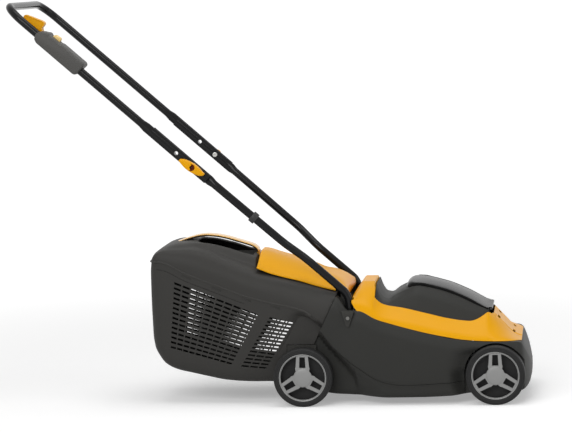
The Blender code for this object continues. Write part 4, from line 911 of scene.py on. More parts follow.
@dataclass
class Studio:
    """Floor, lamps and camera."""

    camera_place: Vector = Vector((0.641 + ROOT_SHIFT, -6.054, 1.03))
    yaw: float = radians(6.5)
    pitch: float = radians(5.54)
    roll: float = radians(-1.72)
    focal_pixels: float = 2518.2
    frame_pixels: float = 572.0
    sensor: float = 36.0
    # Light of the world on the mower, and glow of the floor beside it and far off
    fill: float = 0.3
    near_glow: float = 0.33
    far_glow: float = 0.8
    glow_reach: Point2 = (0.7, 3.5)
    floor_size: float = 300.0
    floor_tone: float = 0.82
    # Name, place, aim, width, depth and power of each lamp
    lamps: tuple = (
        ("key lamp", (-0.9, -3.6, 2.3), (0.1, 0.0, 0.25), 2.4, 1.8, 66.0),
        ("top lamp", (0.3, -0.3, 3.3), (0.1, 0.0, 0.2), 2.6, 2.0, 42.0),
        ("front lamp", (3.0, -1.2, 1.5), (0.2, 0.0, 0.25), 1.6, 1.6, 16.0),
    )

    def build(self) -> None:
        """Make everything around the mower."""
        self.camera()
        self.floor()
        self.world()
        for lamp in self.lamps:
            self.lamp(*lamp)
        bpy.context.scene.view_settings.view_transform = "Standard"

    def camera(self) -> None:
        """Camera at the photograph's place, angle and field of view."""
        back = Vector((sin(self.yaw) * cos(self.pitch), -cos(self.yaw) * cos(self.pitch), sin(self.pitch)))
        right = (-back).cross(Vector((0.0, 0.0, 1.0))).normalized()
        up = right.cross(-back)
        turned_right = right * cos(self.roll) + up * sin(self.roll)
        turned_up = up * cos(self.roll) - right * sin(self.roll)
        data = bpy.data.cameras.new("photo camera")
        data.sensor_width = self.sensor
        data.sensor_fit = "HORIZONTAL"
        data.lens = self.focal_pixels * self.sensor / self.frame_pixels
        data.clip_end = 400.0
        lens = bpy.data.objects.new("photo camera", data)
        lens.matrix_world = Matrix((
            (turned_right.x, turned_up.x, back.x, self.camera_place.x),
            (turned_right.y, turned_up.y, back.y, self.camera_place.y),
            (turned_right.z, turned_up.z, back.z, self.camera_place.z),
            (0.0, 0.0, 0.0, 1.0),
        ))
        bpy.context.scene.collection.objects.link(lens)
        bpy.context.scene.camera = lens

    def lamp(
        self, name: str, place: Sequence[float], aim: Sequence[float], width: float, depth: float, power: float,
    ) -> None:
        """Soft rectangular lamp that faces a point.

        Args:
            name: Name of the lamp.
            place: Where it stands.
            aim: The point it faces.
            width: Its width.
            depth: Its depth.
            power: Its power in watts.
        """
        data = bpy.data.lights.new(name, "AREA")
        data.shape = "RECTANGLE"
        data.size = width
        data.size_y = depth
        data.energy = power
        lamp = bpy.data.objects.new(name, data)
        lamp.location = place
        lamp.visible_camera = False
        lamp.rotation_euler = (Vector(aim) - Vector(place)).to_track_quat("-Z", "Y").to_euler()
        bpy.context.scene.collection.objects.link(lamp)

    def seen_directly(self, sheet: NodeSheet) -> bpy.types.NodeSocket:
        """1 for camera, glossy and transmission rays, else 0.

        Args:
            sheet: Where the nodes are added.

        Returns:
            The mask.
        """
        path = sheet.add("LightPath")
        seen = sheet.math("ADD", path.outputs["Is Camera Ray"], path.outputs["Is Glossy Ray"])
        return sheet.math("ADD", seen, path.outputs["Is Transmission Ray"], clamp=True)

    def world(self) -> None:
        """Soft even light, seen as white."""
        world = bpy.data.worlds.new("studio air")
        world.use_nodes = True
        bpy.context.scene.world = world
        sheet = NodeSheet(world.node_tree)
        backdrop = world.node_tree.nodes["Background"]
        backdrop.inputs["Color"].default_value = (1.0, 1.0, 1.0, 1.0)
        seen = self.seen_directly(sheet)
        strength = sheet.math("ADD", sheet.math("MULTIPLY", seen, 1 - self.fill), self.fill)
        sheet.wire(strength, backdrop.inputs["Strength"])

    def floor(self) -> None:
        """Wide pale floor that shows white, but keeps the mower's shadow."""
        bpy.ops.object.select_all(action="DESELECT")
        bpy.ops.mesh.primitive_plane_add(size=self.floor_size, location=(0.0, 0.0, 0.0))
        floor = bpy.context.object
        floor.name = "studio_floor"
        material = bpy.data.materials.new("studio_floor")
        material.use_nodes = True
        sheet = NodeSheet(material.node_tree)
        shader = material.node_tree.nodes["Principled BSDF"]
        shader.inputs["Base Color"].default_value = (*[self.floor_tone] * 3, 1.0)
        shader.inputs["Roughness"].default_value = 0.9
        shader.inputs["Specular IOR Level"].default_value = 0.0
        place = sheet.add("TexCoord").outputs["Object"]
        away = sheet.add("VectorMath", operation="LENGTH")
        sheet.wire(place, away.inputs[0])
        ramp = sheet.add("MapRange", interpolation_type="SMOOTHSTEP")
        limits = zip(("From Min", "From Max", "To Min", "To Max"), (*self.glow_reach, self.near_glow, self.far_glow))
        for label, value in limits:
            ramp.inputs[label].default_value = value
        sheet.wire(away.outputs["Value"], ramp.inputs["Value"])
        glow = sheet.math("MULTIPLY", self.seen_directly(sheet), ramp.outputs["Result"])
        shader.inputs["Emission Color"].default_value = (1.0, 1.0, 1.0, 1.0)
        sheet.wire(glow, shader.inputs["Emission Strength"])
        floor.data.materials.append(material)


@dataclass
class Deck(SubAssembly):
    """The dark cutting deck, with its wheel recesses, creases and handle sockets."""

    # Rows of x, half width and lower edge
    stations: tuple = mm(
        (20, 168, 30), (83, 172, 21.5), (97, 173, 21), (108, 174, 20.5), (130, 175, 19.5), (182, 177, 18),
        (242, 177, 16.5), (302, 177, 18), (362, 176, 20.5), (422, 174, 24), (466, 172, 27), (500, 166, 27.5),
        (514, 157, 28), (522, 146, 30), (529, 125, 34), (536, 96, 43), (540, 60, 56),
    )
    sweep: tuple = mm((33, 165), (55, 138), (80, 110), (103, 81), (122, 52), (130, 10))
    crease: tuple = mm(
        (38.5, 186), (56.9, 160.6), (71.7, 141.9), (92.6, 121.6), (116.5, 101.3), (143.5, 82.4), (166.6, 66.7),
        (196.8, 54.1), (227.2, 49.1), (248.6, 48.2), (330.8, 51.9), (400, 53.6),
    )
    # The scoop behind the front wheel, and where x, the distance from the wheel and z start and fill it
    scoop_depth: float = 0.014
    low_scoop: float = 0.013
    scoop_x: Point2 = (0.01, -0.045)
    scoop_reach: Point2 = (0.118, 0.076)
    scoop_z: Point2 = (0.138, 0.116)
    low_scoop_z: Point2 = (0.09, 0.068)
    band_depth: float = 0.035
    low_band: float = 0.0025
    chamber_room: float = 0.161
    pitch: float = 0.0055
    groove_half: float = 0.0013
    groove_deep: float = 0.0026
    # Side outlines of what is cut from the solid deck
    rear_cut: tuple = (
        (-0.05, -0.01), (0.0205, -0.01), (0.0205, 0.12), SEAM_LOW, SEAM_TOP, (0.0825, 0.3), (-0.05, 0.3),
    )
    chute: tuple = (
        (0.205, -0.03), (0.205, CHAMBER_TOP - 0.001), (0.168, CHAMBER_TOP - 0.001), (0.075, 0.215),
        (-0.07, 0.215), (-0.07, 0.105), (0.04, 0.105), (0.094, 0.031), (0.094, -0.03),
    )
    nose: tuple = mm((434, -20), (519, -20), (519, 110), (505, 128), (444, 128), (434, 120))
    nose_front: tuple = mm((510, -98, 46), (530, 98, 100))
    axle_bay: tuple = mm((-50, -40), (84, -40), (84, 34), (36, 99), (-50, 99))
    motor_bay: tuple = mm((186, 158), (186, -158), (405, -156), (430, -125), (430, 125), (405, 156))
    rear_bay: tuple = mm((189, 93), (168.5, 93), (125, 154), (125, 400), (189, 400))
    flap_recess: tuple = mm((50, -121.5, 240), (117.5, 121.5, 400))
    open_top: float = 0.4
    # Name, distances from the middle and side outline of what stands on the deck
    lugs: tuple = (
        ("axle_cheek", 0.126, RIB_OUTER_Y, ((-0.0395, 0.034), (0.03, 0.027), (0.03, 0.1428), (-0.0395, 0.1428))),
        ("socket_boss", 0.16, 0.1785,
         ((0.0962, 0.2262), (0.125, 0.2262), (0.1135, 0.192), (0.1105, 0.1895), (0.1065, 0.192))),
        ("flap_ear", 0.1125, 0.1195,
         ((0.089, 0.236), (0.107, 0.236), (0.105, 0.268), (0.098, 0.271), (0.091, 0.268))),
    )
    post_places: tuple = (0.2, 0.36)
    post_y: float = 0.105
    post_radius: float = 0.008
    # Half length, reach to either side, low edge and top of the axles' slots
    slot_sizes: tuple = (0.0054, 0.16, 0.0287, 0.0753)
    # Name, radius, ends, centre, axis and steps of each round hole
    bores: tuple = (
        ("flap_pin_hole", 0.0027, -0.13, 0.13, FLAP_HINGE, "Y", 20),
        ("shaft_hole", 0.0095, 0.06, 0.11, Vector((BLADE_X, 0.0, 0.0)), "Z", 24),
        ("motor_screw_hole", 0.0024, 0.06, 0.11, Vector((BLADE_X, -0.03, 0.0)), "Z", 16),
        ("motor_screw_hole", 0.0024, 0.06, 0.11, Vector((BLADE_X, 0.03, 0.0)), "Z", 16),
        ("socket_bore", TUBE_RADIUS + GAP, 0.187, 0.4, Vector((SOCKET_X, -LOWER_LOW_Y, 0.0)), "Z", 32),
        ("socket_bore", TUBE_RADIUS + GAP, 0.187, 0.4, Vector((SOCKET_X, LOWER_LOW_Y, 0.0)), "Z", 32),
        ("screw_bore", 0.0047, -0.2, 0.2, Vector((SOCKET_X - 0.001, 0.0, 0.211)), "Y", 16),
    )

    def inward(self, x: float, z: float) -> float:
        """How far the side dips in at a place: the scoop behind the front wheel and the rear band.

        Args:
            x: Place along the deck.
            z: Height.

        Returns:
            The dip.
        """
        away = hypot(x - WHEELBASE, z - WHEEL_RADIUS)
        behind = ease(*[WHEELBASE + shift for shift in self.scoop_x], x)
        depth = self.scoop_depth + self.low_scoop * ease(*self.low_scoop_z, z)
        scoop = depth * ease(*self.scoop_reach, away) * behind * ease(*self.scoop_z, z)
        line = read_line(self.crease, x)
        edge = max(read_line(self.sweep, x), 0.022)
        band = 0.0
        if x < BLADE_X and z < line:
            chamber = max(CHAMBER_RADIUS ** 2 - (x - BLADE_X) ** 2, 0.0) ** 0.5
            share = ease(0.0, 1.0, (line - z) / max(line - edge, 0.012))
            band = min(self.band_depth, self.chamber_room - chamber) * share
        low_band = self.low_band * ease(line + 0.001, line - 0.004, z) if x >= 0.03 else 0.0
        return scoop + max(band, 0.0, low_band)

    def ring(self, x: float, half: float, low: float, top: float) -> Ring:
        """One section of the deck.

        Args:
            x: Place of the section.
            half: Half width.
            low: Lower edge.
            top: Upper edge.

        Returns:
            The ring of points.
        """
        middle = (low + top) / 2
        rise = min(0.018, (top - low) * 0.3)
        flare = min(0.012, (top - low) * 0.2)
        curve = smooth_path((
            (half - 0.012, low), (half - 0.0045, low + flare / 4), (half - 0.0008, low + flare),
            (half + 0.0005, middle), (half - 0.0015, top - rise * 1.5), (half - 0.005, top - rise * 0.75),
            (half - 0.0095, top - rise * 0.2), (half - 0.0125, top),
        ), 34)
        shaped = [(y - self.inward(x, z), z) for y, z in curve]
        return section_ring(x, [(0.0, low), *shaped, (0.0, top)])

    def well(self, x: float, radius: float) -> list[Point2]:
        """Side outline of a wheel recess, open downwards."""
        return [*arc((x, WHEEL_RADIUS), radius, 0, 180, 40), (x - radius, -0.05), (x + radius, -0.05)]

    def cutters(self) -> list[Piece]:
        """Everything that is cut from the solid deck.

        Returns:
            The tools in the order of cutting.
        """
        swept = [(-0.02, -0.01), (-0.02, self.sweep[0][1]), *smooth_path(self.sweep, 26)]
        tools = [through_prism("rear_seam", self.rear_cut)]
        for side in Side:
            span = side.span(RIB_OUTER_Y, BEYOND)
            tools.append(side_prism("swept_recess", swept, *span))
            tools.append(side_prism("front_recess", self.well(WHEELBASE, WHEEL_RADIUS + 0.0045), *span))
        return [
            *tools,
            rod("chamber", CHAMBER_RADIUS, -0.02, CHAMBER_TOP, Vector((BLADE_X, 0.0, 0.0)), "Z", 72),
            through_prism("chute", self.chute, 0.118),
            through_prism("nose_hollow", self.nose, 0.132),
            block("nose_front_hollow", *self.nose_front),
            through_prism("axle_bay", self.axle_bay, 0.1165),
            plan_prism("motor_bay", self.motor_bay, BAY_FLOOR, self.open_top),
            through_prism("rear_bay", self.rear_bay, 0.1565),
            block("flap_recess", *self.flap_recess),
        ]

    def groove_tools(self) -> list[Piece]:
        """Thin ribbons that press the crease into both sides.

        Returns:
            One tool for each side.
        """
        table = SmoothTable(self.stations)
        line = smooth_path(self.crease, 70)
        wide, narrow = [(share * self.groove_half,) * 2 for share in (1.0, 0.3)]
        tools = []
        for side in Side:
            rings = []
            for x, z in line:
                half = table.at(x)[0] - self.inward(x, z + 0.001) + 0.0005
                rings.append(groove_ring(side, (x, half, z), wide, narrow, self.groove_deep))
            tools.append(loft("crease_groove", rings))
        return tools

    def lug_pieces(self) -> list[Piece]:
        """Cheeks, bosses, hinge ears and posts that stand on the deck.

        Returns:
            The pieces.
        """
        pieces = []
        for side in Side:
            for name, near, far, outline in self.lugs:
                pieces.append(side_prism(name, outline, *side.span(near, far)))
            for x in self.post_places:
                top = read_line(DECK_EDGE, x) - GAP
                foot = Vector((x, side.value * self.post_y, 0.0))
                pieces.append(rod("cover_post", self.post_radius, BAY_FLOOR - 0.002, top, foot, "Z", 24))
        return pieces

    def build(self) -> None:
        """Model and dress the deck."""
        body = SmoothTable(self.stations)
        edge = SmoothTable(DECK_EDGE)
        knots = sorted({row[0] for row in self.stations})
        rings = [self.ring(x, *body.at(x), edge.at(x)[0]) for x in spread(knots, self.pitch)]
        deck = loft("deck_shell", rings)
        carve(deck, self.groove_tools())
        carve(deck, self.cutters())
        carve(deck, self.lug_pieces(), "UNION")
        half, reach, low, top = self.slot_sizes
        slots = [block("axle_slot", (x - half, -reach, low), (x + half, reach, top)) for x in (0.0, WHEELBASE)]
        carve(deck, [*slots, *[rod(*bore) for bore in self.bores]])
        settle(deck, "chassis", self.paints["dark_plastic"], ["deck"])


@dataclass
class Cowl(SubAssembly):
    """The yellow cover round the battery hood."""

    # Rows of x and the (y, z) points of half a section, from the rim inwards
    stations: tuple = mm(
        (119, ((158, 245), (150, 250), (130, 253.5), (90, 256), (55, 257))),
        (130, ((163, 227), (156, 242), (135, 256), (95, 268), (57, 272.5))),
        (140, ((163.5, 222.5), (157, 237), (135, 255), (95, 273), (57, 284))),
        (168, ((164.5, 209.5), (157, 225), (135, 245), (90, 273), (57, 284))),
        (175, ((165, 206), (158, 218), (135, 236), (100, 260), (57, 270))),
        (192, ((165, 199.5), (158.5, 210), (138, 225), (100, 245), (57, 260))),
        (240, ((165, 185.5), (159, 196), (140, 212), (100, 238), (57, 260))),
        (301, ((165, 169.5), (159, 180), (140, 197), (100, 223), (57, 250))),
        (346, ((164.5, 160), (159, 170), (140, 186), (100, 212), (57, 240))),
        (376, ((163.5, 154.5), (158, 164), (139, 180), (100, 208), (57, 235))),
        (408, ((162, 151), (156, 160), (137, 176), (100, 204), (65, 225))),
        (437, ((160, 149), (154, 158), (130, 178.5), (95, 208), (75, 217.5))),
        (451, ((159, 148.5), (152, 156.5), (125, 174.5), (90, 196.5), (70, 204))),
        (475, ((154, 147.5), (145, 153.5), (121, 162), (86, 173.5), (68, 179))),
        (497, ((144, 146.8), (135, 150), (112, 153), (82, 155.5), (64, 157))),
        (512, ((125, 145.5), (118, 146.3), (102, 147), (78, 147.8), (60, 148.4))),
        (518, ((113, 143.2), (108, 144), (96, 145), (80, 145.6), (56, 146.8))),
    )
    opening: tuple = mm(
        (171.5, 120), (372, 120), (395, 118), (412, 112.5), (426, 104), (438, 92.5), (448, 79), (452, 60),
    )
    flap_clearance: tuple = mm((100, -122.5, 100), (122, 122.5, 253.5))
    vents: tuple = mm((464, 196), (499, 162))
    vent_half: float = 0.0028
    vent_inner: float = 0.03
    panel_half: float = 0.059
    panel_rise: float = 0.0016
    notch_radius: float = 0.0115
    pitch: float = 0.006

    def ring(self, x: float, values: Sequence[float], inset: float, floor: float) -> Ring:
        """One section of the cowl, or of its hollow where inset is the wall.

        Args:
            x: Place of the section.
            values: Its row of points.
            inset: Distance under the skin.
            floor: Height of its floor.

        Returns:
            The ring of points.
        """
        half = [(values[k], values[k + 1]) for k in range(0, len(values), 2)]
        shifted = [(max(y - inset, 0.0), z - inset) for y, z in half]
        rim = (shifted[0][0], max(shifted[0][1], floor) + 0.0006)
        curve = smooth_path([rim, *shifted[1:]], 22)
        top = half[-1][1] - inset
        lift = self.panel_rise * ease(0.442, 0.45, x)
        reach = min(self.panel_half, shifted[-1][0] - 0.003)
        panel = [
            (reach + 0.001, top), (reach, top + lift * 0.5), (reach - 0.0022, top + lift), (reach - 0.006, top + lift),
        ]
        points = [(0.0, floor), (shifted[0][0], floor), *curve, *panel, (0.0, top + lift)]
        return section_ring(x, points)

    def build(self) -> None:
        """Model and dress the cowl."""
        table = SmoothTable([(x, *[value for point in half for value in point]) for x, half in self.stations])

        def section(place: float, x: float, inset: float) -> Ring:
            """Ring at x with the sizes of a place.

            Args:
                place: Where the sizes and the deck's edge are read.
                x: Where the ring stands.
                inset: Distance inside the outer skin.

            Returns:
                The points of the ring.
            """
            values = table.at(place)
            floor = max(values[1], read_line(DECK_EDGE, place) + GAP)
            return self.ring(x, values, inset, floor - HOLLOW_DROP if inset else floor)

        cowl = hollow_shell("cowl_shell", spread([row[0] for row in self.stations], self.pitch), section)
        plan = [self.opening[0], *smooth_path(self.opening[1:], 26)]
        plan += [(x, -y) for x, y in reversed(plan)]
        tools = [plan_prism("cowl_opening", plan, 0.1, 0.35), block("flap_clearance", *self.flap_clearance)]
        for side in Side:
            socket = Vector((SOCKET_X, side.value * LOWER_LOW_Y, 0.0))
            tools.append(rod("tube_notch", self.notch_radius, 0.2, 0.3, socket, "Z", 40))
        for x, z in self.vents:
            for side in Side:
                along = (x - self.vent_half, x + self.vent_half)
                away = (self.vent_inner, self.panel_half)
                tools.append(side_block("nose_vent", side, along, away, (z - 0.014, z + 0.012)))
        carve(cowl, tools)
        settle(cowl, "chassis", self.paints["yellow_gloss"], ["motor_cowl"], 40.0)


@dataclass
class Hood(SubAssembly):
    """The dark battery hood and its lid."""

    # Rows of x, half width and the (y, z) points over half of the top
    stations: tuple = mm(
        (173, 119, ((119, 254), (80, 274), (57, 280.5))),
        (180, 119, ((119, 238), (90, 253), (60, 260))),
        (190, 119, ((119, 232), (95, 240), (65, 246))),
        (203, 119, ((119, 229), (100, 237), (70, 243))),
        (220, 119, ((119, 226), (102, 243), (75, 254))),
        (246.5, 119, ((119, 221), (103, 248), (79, 266))),
        (270, 119, ((119, 216), (104, 250), (80, 274.5))),
        (300, 119, ((119, 209), (104, 243), (80, 269.5))),
        (330, 119, ((119, 201), (104, 235), (80.5, 261.5))),
        (376, 118.8, ((118.8, 191), (104, 220), (81.5, 243.2))),
        (399, 116.6, ((116.6, 188), (103, 211), (82, 231.7))),
        (424, 104.6, ((104.6, 193), (96, 206), (82, 219.7))),
        (437, 92.6, ((92.6, 204), (87, 208), (79, 215))),
        (439, 90.5, ((90.5, 205), (85, 208), (77.5, 213.8))),
    )
    lid_top: tuple = mm(
        (243, 270), (245, 275.5), (250, 280), (257, 282.2), (275, 281.8), (299, 278), (323.3, 271.8), (347.5, 264.3),
        (371.7, 254), (395.9, 242.2), (419.9, 228.2), (433, 220.6), (439, 218.2),
    )
    barrel: tuple = mm(
        (444, 218), (448, 217.2), (449.5, 214), (448, 210.8), (445.5, 209.8), (442.5, 211), (441.3, 214),
    )
    lid_under: tuple = mm(
        (439.8, 216), (425, 220), (399, 232.5), (376, 244), (330, 262.3), (300, 270.3), (270, 275.3), (250, 270.5),
        (245, 269),
    )
    # Where the lid's rear end stands at each y, and how far its top drops there
    rear_line: tuple = mm((0, 243), (34, 243), (52, 244.5), (66, 248), (76, 254), (81, 262.5))
    lid_edge: tuple = mm(
        (0, 0), (20, 0.1), (40, 0.5), (55, 1), (66, 1.6), (72.5, 2.2), (75.8, 2.8), (76.6, 3.2), (77.3, 2.6),
        (78.4, 1.9), (79.5, 2), (80.4, 2.8), (80.9, 4.2), (81, 6.2),
    )
    # x of the lid's rear end at the middle, and x from which the end's curve is spread
    lid_rear: float = 0.243
    lid_fixed: float = 0.3
    lid_tilt: float = radians(162.4)
    # Ranges along, above and across the lid of the battery's and the key's openings
    battery_room: tuple = mm((21, 163), (-30, 40), (-47, 47))
    key_room: tuple = mm((100.5, 134.5), (-30, 40), (52, 78))
    hinge_room: tuple = mm((440, 460), (69.5, 100), (200, 240))
    pitch: float = 0.006

    def ring(self, x: float, values: Sequence[float], inset: float, floor: float) -> Ring:
        """One section of the hood, or of its hollow where inset is the wall.

        Args:
            x: Place of the section.
            values: Its half width and points.
            inset: Distance under the skin.
            floor: Height of its floor.

        Returns:
            The ring of points.
        """
        half_width = values[0]
        tops = [(values[k] - inset, values[k + 1] - inset) for k in range(1, len(values), 2)]
        curve = smooth_path(tops, 16)
        points = [(0.0, floor), (half_width - inset, floor), *curve, (0.0, tops[-1][1])]
        return section_ring(x, points)

    def build(self) -> None:
        """Model and dress the hood and the lid."""
        self.hood()
        self.lid()

    def hood(self) -> None:
        """The hood with its battery and key openings."""
        rows = [(x, half, *[value for point in tops for value in point]) for x, half, tops in self.stations]
        table = SmoothTable(rows)

        def section(place: float, x: float, inset: float) -> Ring:
            """Ring at x with the sizes of a place."""
            floor = read_line(DECK_EDGE, place) + GAP
            return self.ring(x, table.at(place), inset, floor - HOLLOW_DROP if inset else floor)

        hood = hollow_shell("hood_shell", spread([row[0] for row in rows], self.pitch), section)
        for room in (self.battery_room, self.key_room):
            carve(hood, [self.lid_box(*room)])
        settle(hood, "chassis", self.paints["dark_plastic"], ["battery_hood"], 40.0)

    def lid_box(self, along: Point2, up: Point2, across: Point2) -> Piece:
        """Box in the lid's tilted frame, measured back from its hinge.

        Args:
            along: Range along the lid.
            up: Range above it.
            across: Range of y.

        Returns:
            The box.
        """
        back = Vector((cos(self.lid_tilt), 0.0, sin(self.lid_tilt)))
        rise = Vector((sin(self.lid_tilt), 0.0, -cos(self.lid_tilt)))
        corners = rectangle(along, up)
        rings = [[LID_HINGE + back * a + rise * b + Vector((0.0, y, 0.0)) for a, b in corners] for y in across]
        return loft("lid_frame_box", rings)

    def lid(self) -> None:
        """The glossy lid, crowned across and rounded along its sides."""
        top = smooth_path(self.lid_top, 60)
        outline = [*top, *smooth_path(self.barrel, 16), *smooth_path(self.lid_under, 36)]
        last = len(top) - 1
        shares = [sin(pi * i / last) ** 0.35 if 0 < i < last else 0.0 for i in range(len(outline))]
        fixed, middle = self.lid_fixed, self.lid_rear
        rings = []
        edges = [(-y, drop) for y, drop in reversed(self.lid_edge[1:])] + list(self.lid_edge)
        for y, drop in edges:
            rear = read_line(self.rear_line, abs(y))
            ring = []
            for share, (x, z) in zip(shares, outline):
                pulled = rear + (x - middle) * (fixed - rear) / (fixed - middle) if x < fixed else x
                ring.append(Vector((pulled, y, z - drop * share)))
            rings.append(ring)
        lid = loft("lid_shell", rings)
        carve(lid, [side_block("hinge_clearance", side, *self.hinge_room) for side in Side])
        carve(lid, [rod("lid_pin_bore", 0.0022, -0.1, 0.1, LID_HINGE, "Y", 20)])
        settle(lid, "lid", self.paints["lid_gloss"], ["battery_lid"], 40.0)


@dataclass
class Catcher(SubAssembly):
    """The grass catcher: slotted tub, top shell and carrying strap."""

    # Rows of x, floor, floor's half width, half width, seam, shoulder (y, z) and top
    stations: tuple = mm(
        (-367.2, 180, 105, 112, 235, 110, 262, 270), (-365.5, 148, 115, 124, 290, 120, 330, 345),
        (-362, 133, 120, 130, 335, 125, 354, 360), (-354, 119, 126, 136, 350, 128, 365, 369),
        (-338.5, 98, 130, 139, 352, 122, 373, 377), (-311, 83, 131, 140, 348, 107, 376.5, 385),
        (-270, 73, 132, 141, 338, 97, 377, 387), (-236, 65, 132, 142, 326, 92, 371, 385),
        (-192, 56, 133, 143, 311, 90, 354.5, 376.5), (-148, 52, 134, 145, 293, 90, 337, 362.5),
        (-116.5, 51, 134, 147, 281, 93, 324.5, 350.5), (-114, 51, 134, 147, 280, 98.5, 322.2, 322.6),
        (-90, 51, 134, 149, 271, 105, 315, 315.4), (-60, 50, 134, 151, 260, 114, 307, 307.4),
        (-6, 50, 134, 157, 241, 120, 292.5, 292.9), (36, 50, 134, 162, 222, 127, 279, 279.4),
        (70, 50, 134, 166, 208, 135, 269, 269.4), (90, 50, 134, 168, 200, 138, 264, 264.4),
    )
    seam: tuple = mm(
        (-400, 346.5), (-345, 345), (-278, 315.8), (-205, 286.8), (-134, 259.8), (-64, 241.5), (-30.5, 234.5),
        (3.5, 225), (28, 209), (120, 156),
    )
    rear_plan: tuple = mm((-364, 120), (-365.2, 105), (-366, 60), (-366, 0))
    arch_left: tuple = mm((60, -80), (95, -80), (130, -58), (166, -36), (200, -18), (214, -8), (240, 10))
    pocket: tuple = mm(-262, -123.5, 60, 330)
    strap_line: tuple = mm(
        (-330, 376), (-306.3, 383.8), (-281.3, 391.7), (-256.5, 396.9), (-244.1, 397.7), (-219.5, 395.7),
        (-195.1, 390.9), (-170.7, 383.6), (-146.3, 376), (-128, 369), (-118.5, 360), (-116, 347),
    )
    slot_groups: tuple = (
        ((-0.3087, 0.2969), (-0.3229, 0.1418), (-0.106, 0.2158), (-0.1737, 0.0983), 10),
        ((-0.0807, 0.2105), (-0.1531, 0.0938), (-0.0226, 0.1959), (-0.0897, 0.0873), 3),
    )
    slot_rows: int = 14
    # Shares of a slot group's pitch that are open in height and bar in width
    slot_open: float = 0.44
    slot_bar: float = 0.17
    slot_y: float = 0.09
    slot_draw: float = 0.12
    clip_places: tuple = mm(-277, -205, -134, -64, -20)
    clip_half: float = 0.011
    clip_drop: Point2 = (0.0085, 0.004)
    clip_deep: float = 0.0012
    groove_drop: float = 0.0165
    groove_x: Point2 = (-0.352, -0.135)
    groove_wide: Point2 = (0.0, 0.0009)
    groove_narrow: Point2 = (0.0, 0.0004)
    groove_deep: float = 0.0014
    pitch: float = 0.008
    # The crown from the shoulder to the middle, flat and rolled, as shares of the shoulder's y and z
    flat_crown: tuple = ((0.92, 0.3), (0.85, 0.55), (0.78, 0.72), (0.72, 0.82), (0.66, 0.88), (0.6, 0.92))
    rolled_crown: tuple = ((0.95, 0.06), (0.9, 0.26), (0.84, 0.56), (0.79, 0.78), (0.735, 0.86), (0.685, 0.8))
    # Rows of x, z and the way each point of the wheel's arch moves when it grows
    arch: tuple = (
        (-0.08, 0.06, -1, 0), (-0.08, 0.095, -1, 0), (-0.058, 0.13, -1, 0), (-0.036, 0.166, -1, 0),
        (-0.018, 0.2, -1, 0.5), (-0.008, 0.212, -0.5, 1), (0.006, 0.213, 0, 1), (0.024, 0.203, 0, 1),
        (0.042, 0.183, 1, 1), (0.06, 0.15, 1, 0), (0.06, -0.01, 1, -1), (-0.08, -0.01, -1, -1),
    )
    front_notch: float = -0.0405
    front_gap: float = 0.0006
    seam_gap: float = 0.0008
    pocket_corner: float = 0.024
    pocket_front: float = 0.008
    flange_x: Point2 = (-0.3615, 0.024)
    flange_foot: float = 0.003
    flange_tall: float = 0.0042
    strap_half: float = 0.003
    # Rows of y and the share of the strap's half thickness
    strap_section: tuple = (
        (-0.02, -0.6), (-0.0175, -1.0), (0.0175, -1.0), (0.02, -0.6), (0.022, 0.1), (0.0217, 0.45),
        (0.02, 0.75), (0.016, 0.93), (0.009, 1.0), (-0.009, 1.0), (-0.016, 0.93), (-0.02, 0.75),
        (-0.0217, 0.45), (-0.022, 0.1),
    )

    def half_section(self, values: Sequence[float], inset: float, x: float) -> list[Point2]:
        """Half of one section, from the middle of the floor to the middle of the top.

        Args:
            values: Sizes of the section.
            inset: Distance under the skin.
            x: Its place.

        Returns:
            Points of (y, z).
        """
        low, seam_z = values[0] + inset, values[3]
        low_half, half, shoulder_y, shoulder_z, top = [values[k] - inset for k in (1, 2, 4, 5, 6)]
        reach = half - shoulder_y
        rise = shoulder_z - seam_z
        side = smooth_path((
            (low_half - 0.028, low), (low_half - 0.016, low + 0.0022), (low_half - 0.006, low + 0.01),
            (low_half, low + 0.03), (half, seam_z - 0.004), (half - 0.12 * reach, seam_z + 0.45 * rise),
            (half - 0.45 * reach, seam_z + 0.85 * rise), (shoulder_y, shoulder_z),
        ), 44)
        height = top - shoulder_z
        rolled = ease(-0.282, -0.262, x) * ease(-0.1155, -0.1175, x)
        crest = min(0.068, shoulder_y * 0.72)
        crown = []
        for (flat_y, flat_z), (roll_y, roll_z) in zip(self.flat_crown, self.rolled_crown):
            share_y = flat_y + (roll_y - flat_y) * rolled
            share_z = flat_z + (roll_z - flat_z) * rolled
            crown.append((shoulder_y * share_y, shoulder_z + height * share_z))
        crown.append((crest * 0.6, shoulder_z + height * 0.96))
        return [(0.0, low), (low_half * 0.4, low), *side, *crown, (0.0, top)]

    def rings(self, inset: float) -> list[Ring]:
        """All sections; the inner skin is moved in from the rear, the step and the front.

        Args:
            inset: Distance under the skin.

        Returns:
            The rings.
        """
        table = SmoothTable(self.stations)
        places = spread([row[0] for row in self.stations], self.pitch)
        rings = []
        for index, x in enumerate(places):
            shift = 0.0
            if inset:
                shift = inset if index == 0 else (inset * 0.7 if x < -0.33 else 0.0)
                shift = -inset if -0.12 < x < -0.115 else shift
                shift = 0.02 if index == len(places) - 1 else shift
            half = [(y - self.sunk(x, y + inset, z), z) for y, z in self.half_section(table.at(x), inset, x)]
            rings.append(section_ring(x + shift, half))
        return rings

    def sunk(self, x: float, y: float, z: float) -> float:
        """How far the outer skin at a place sinks towards the wheel's room.

        Args:
            x: Place along the catcher.
            y: Distance from the middle.
            z: Height.

        Returns:
            The distance.
        """
        border = read_line(self.arch_left, z)
        seam = read_line(self.seam, x)
        share = ease(border - 0.024, border + 0.003, x) * ease(seam - 0.003, seam - 0.014, z)
        return max(y - RIB_OUTER_Y - 0.0004, 0.0) * share

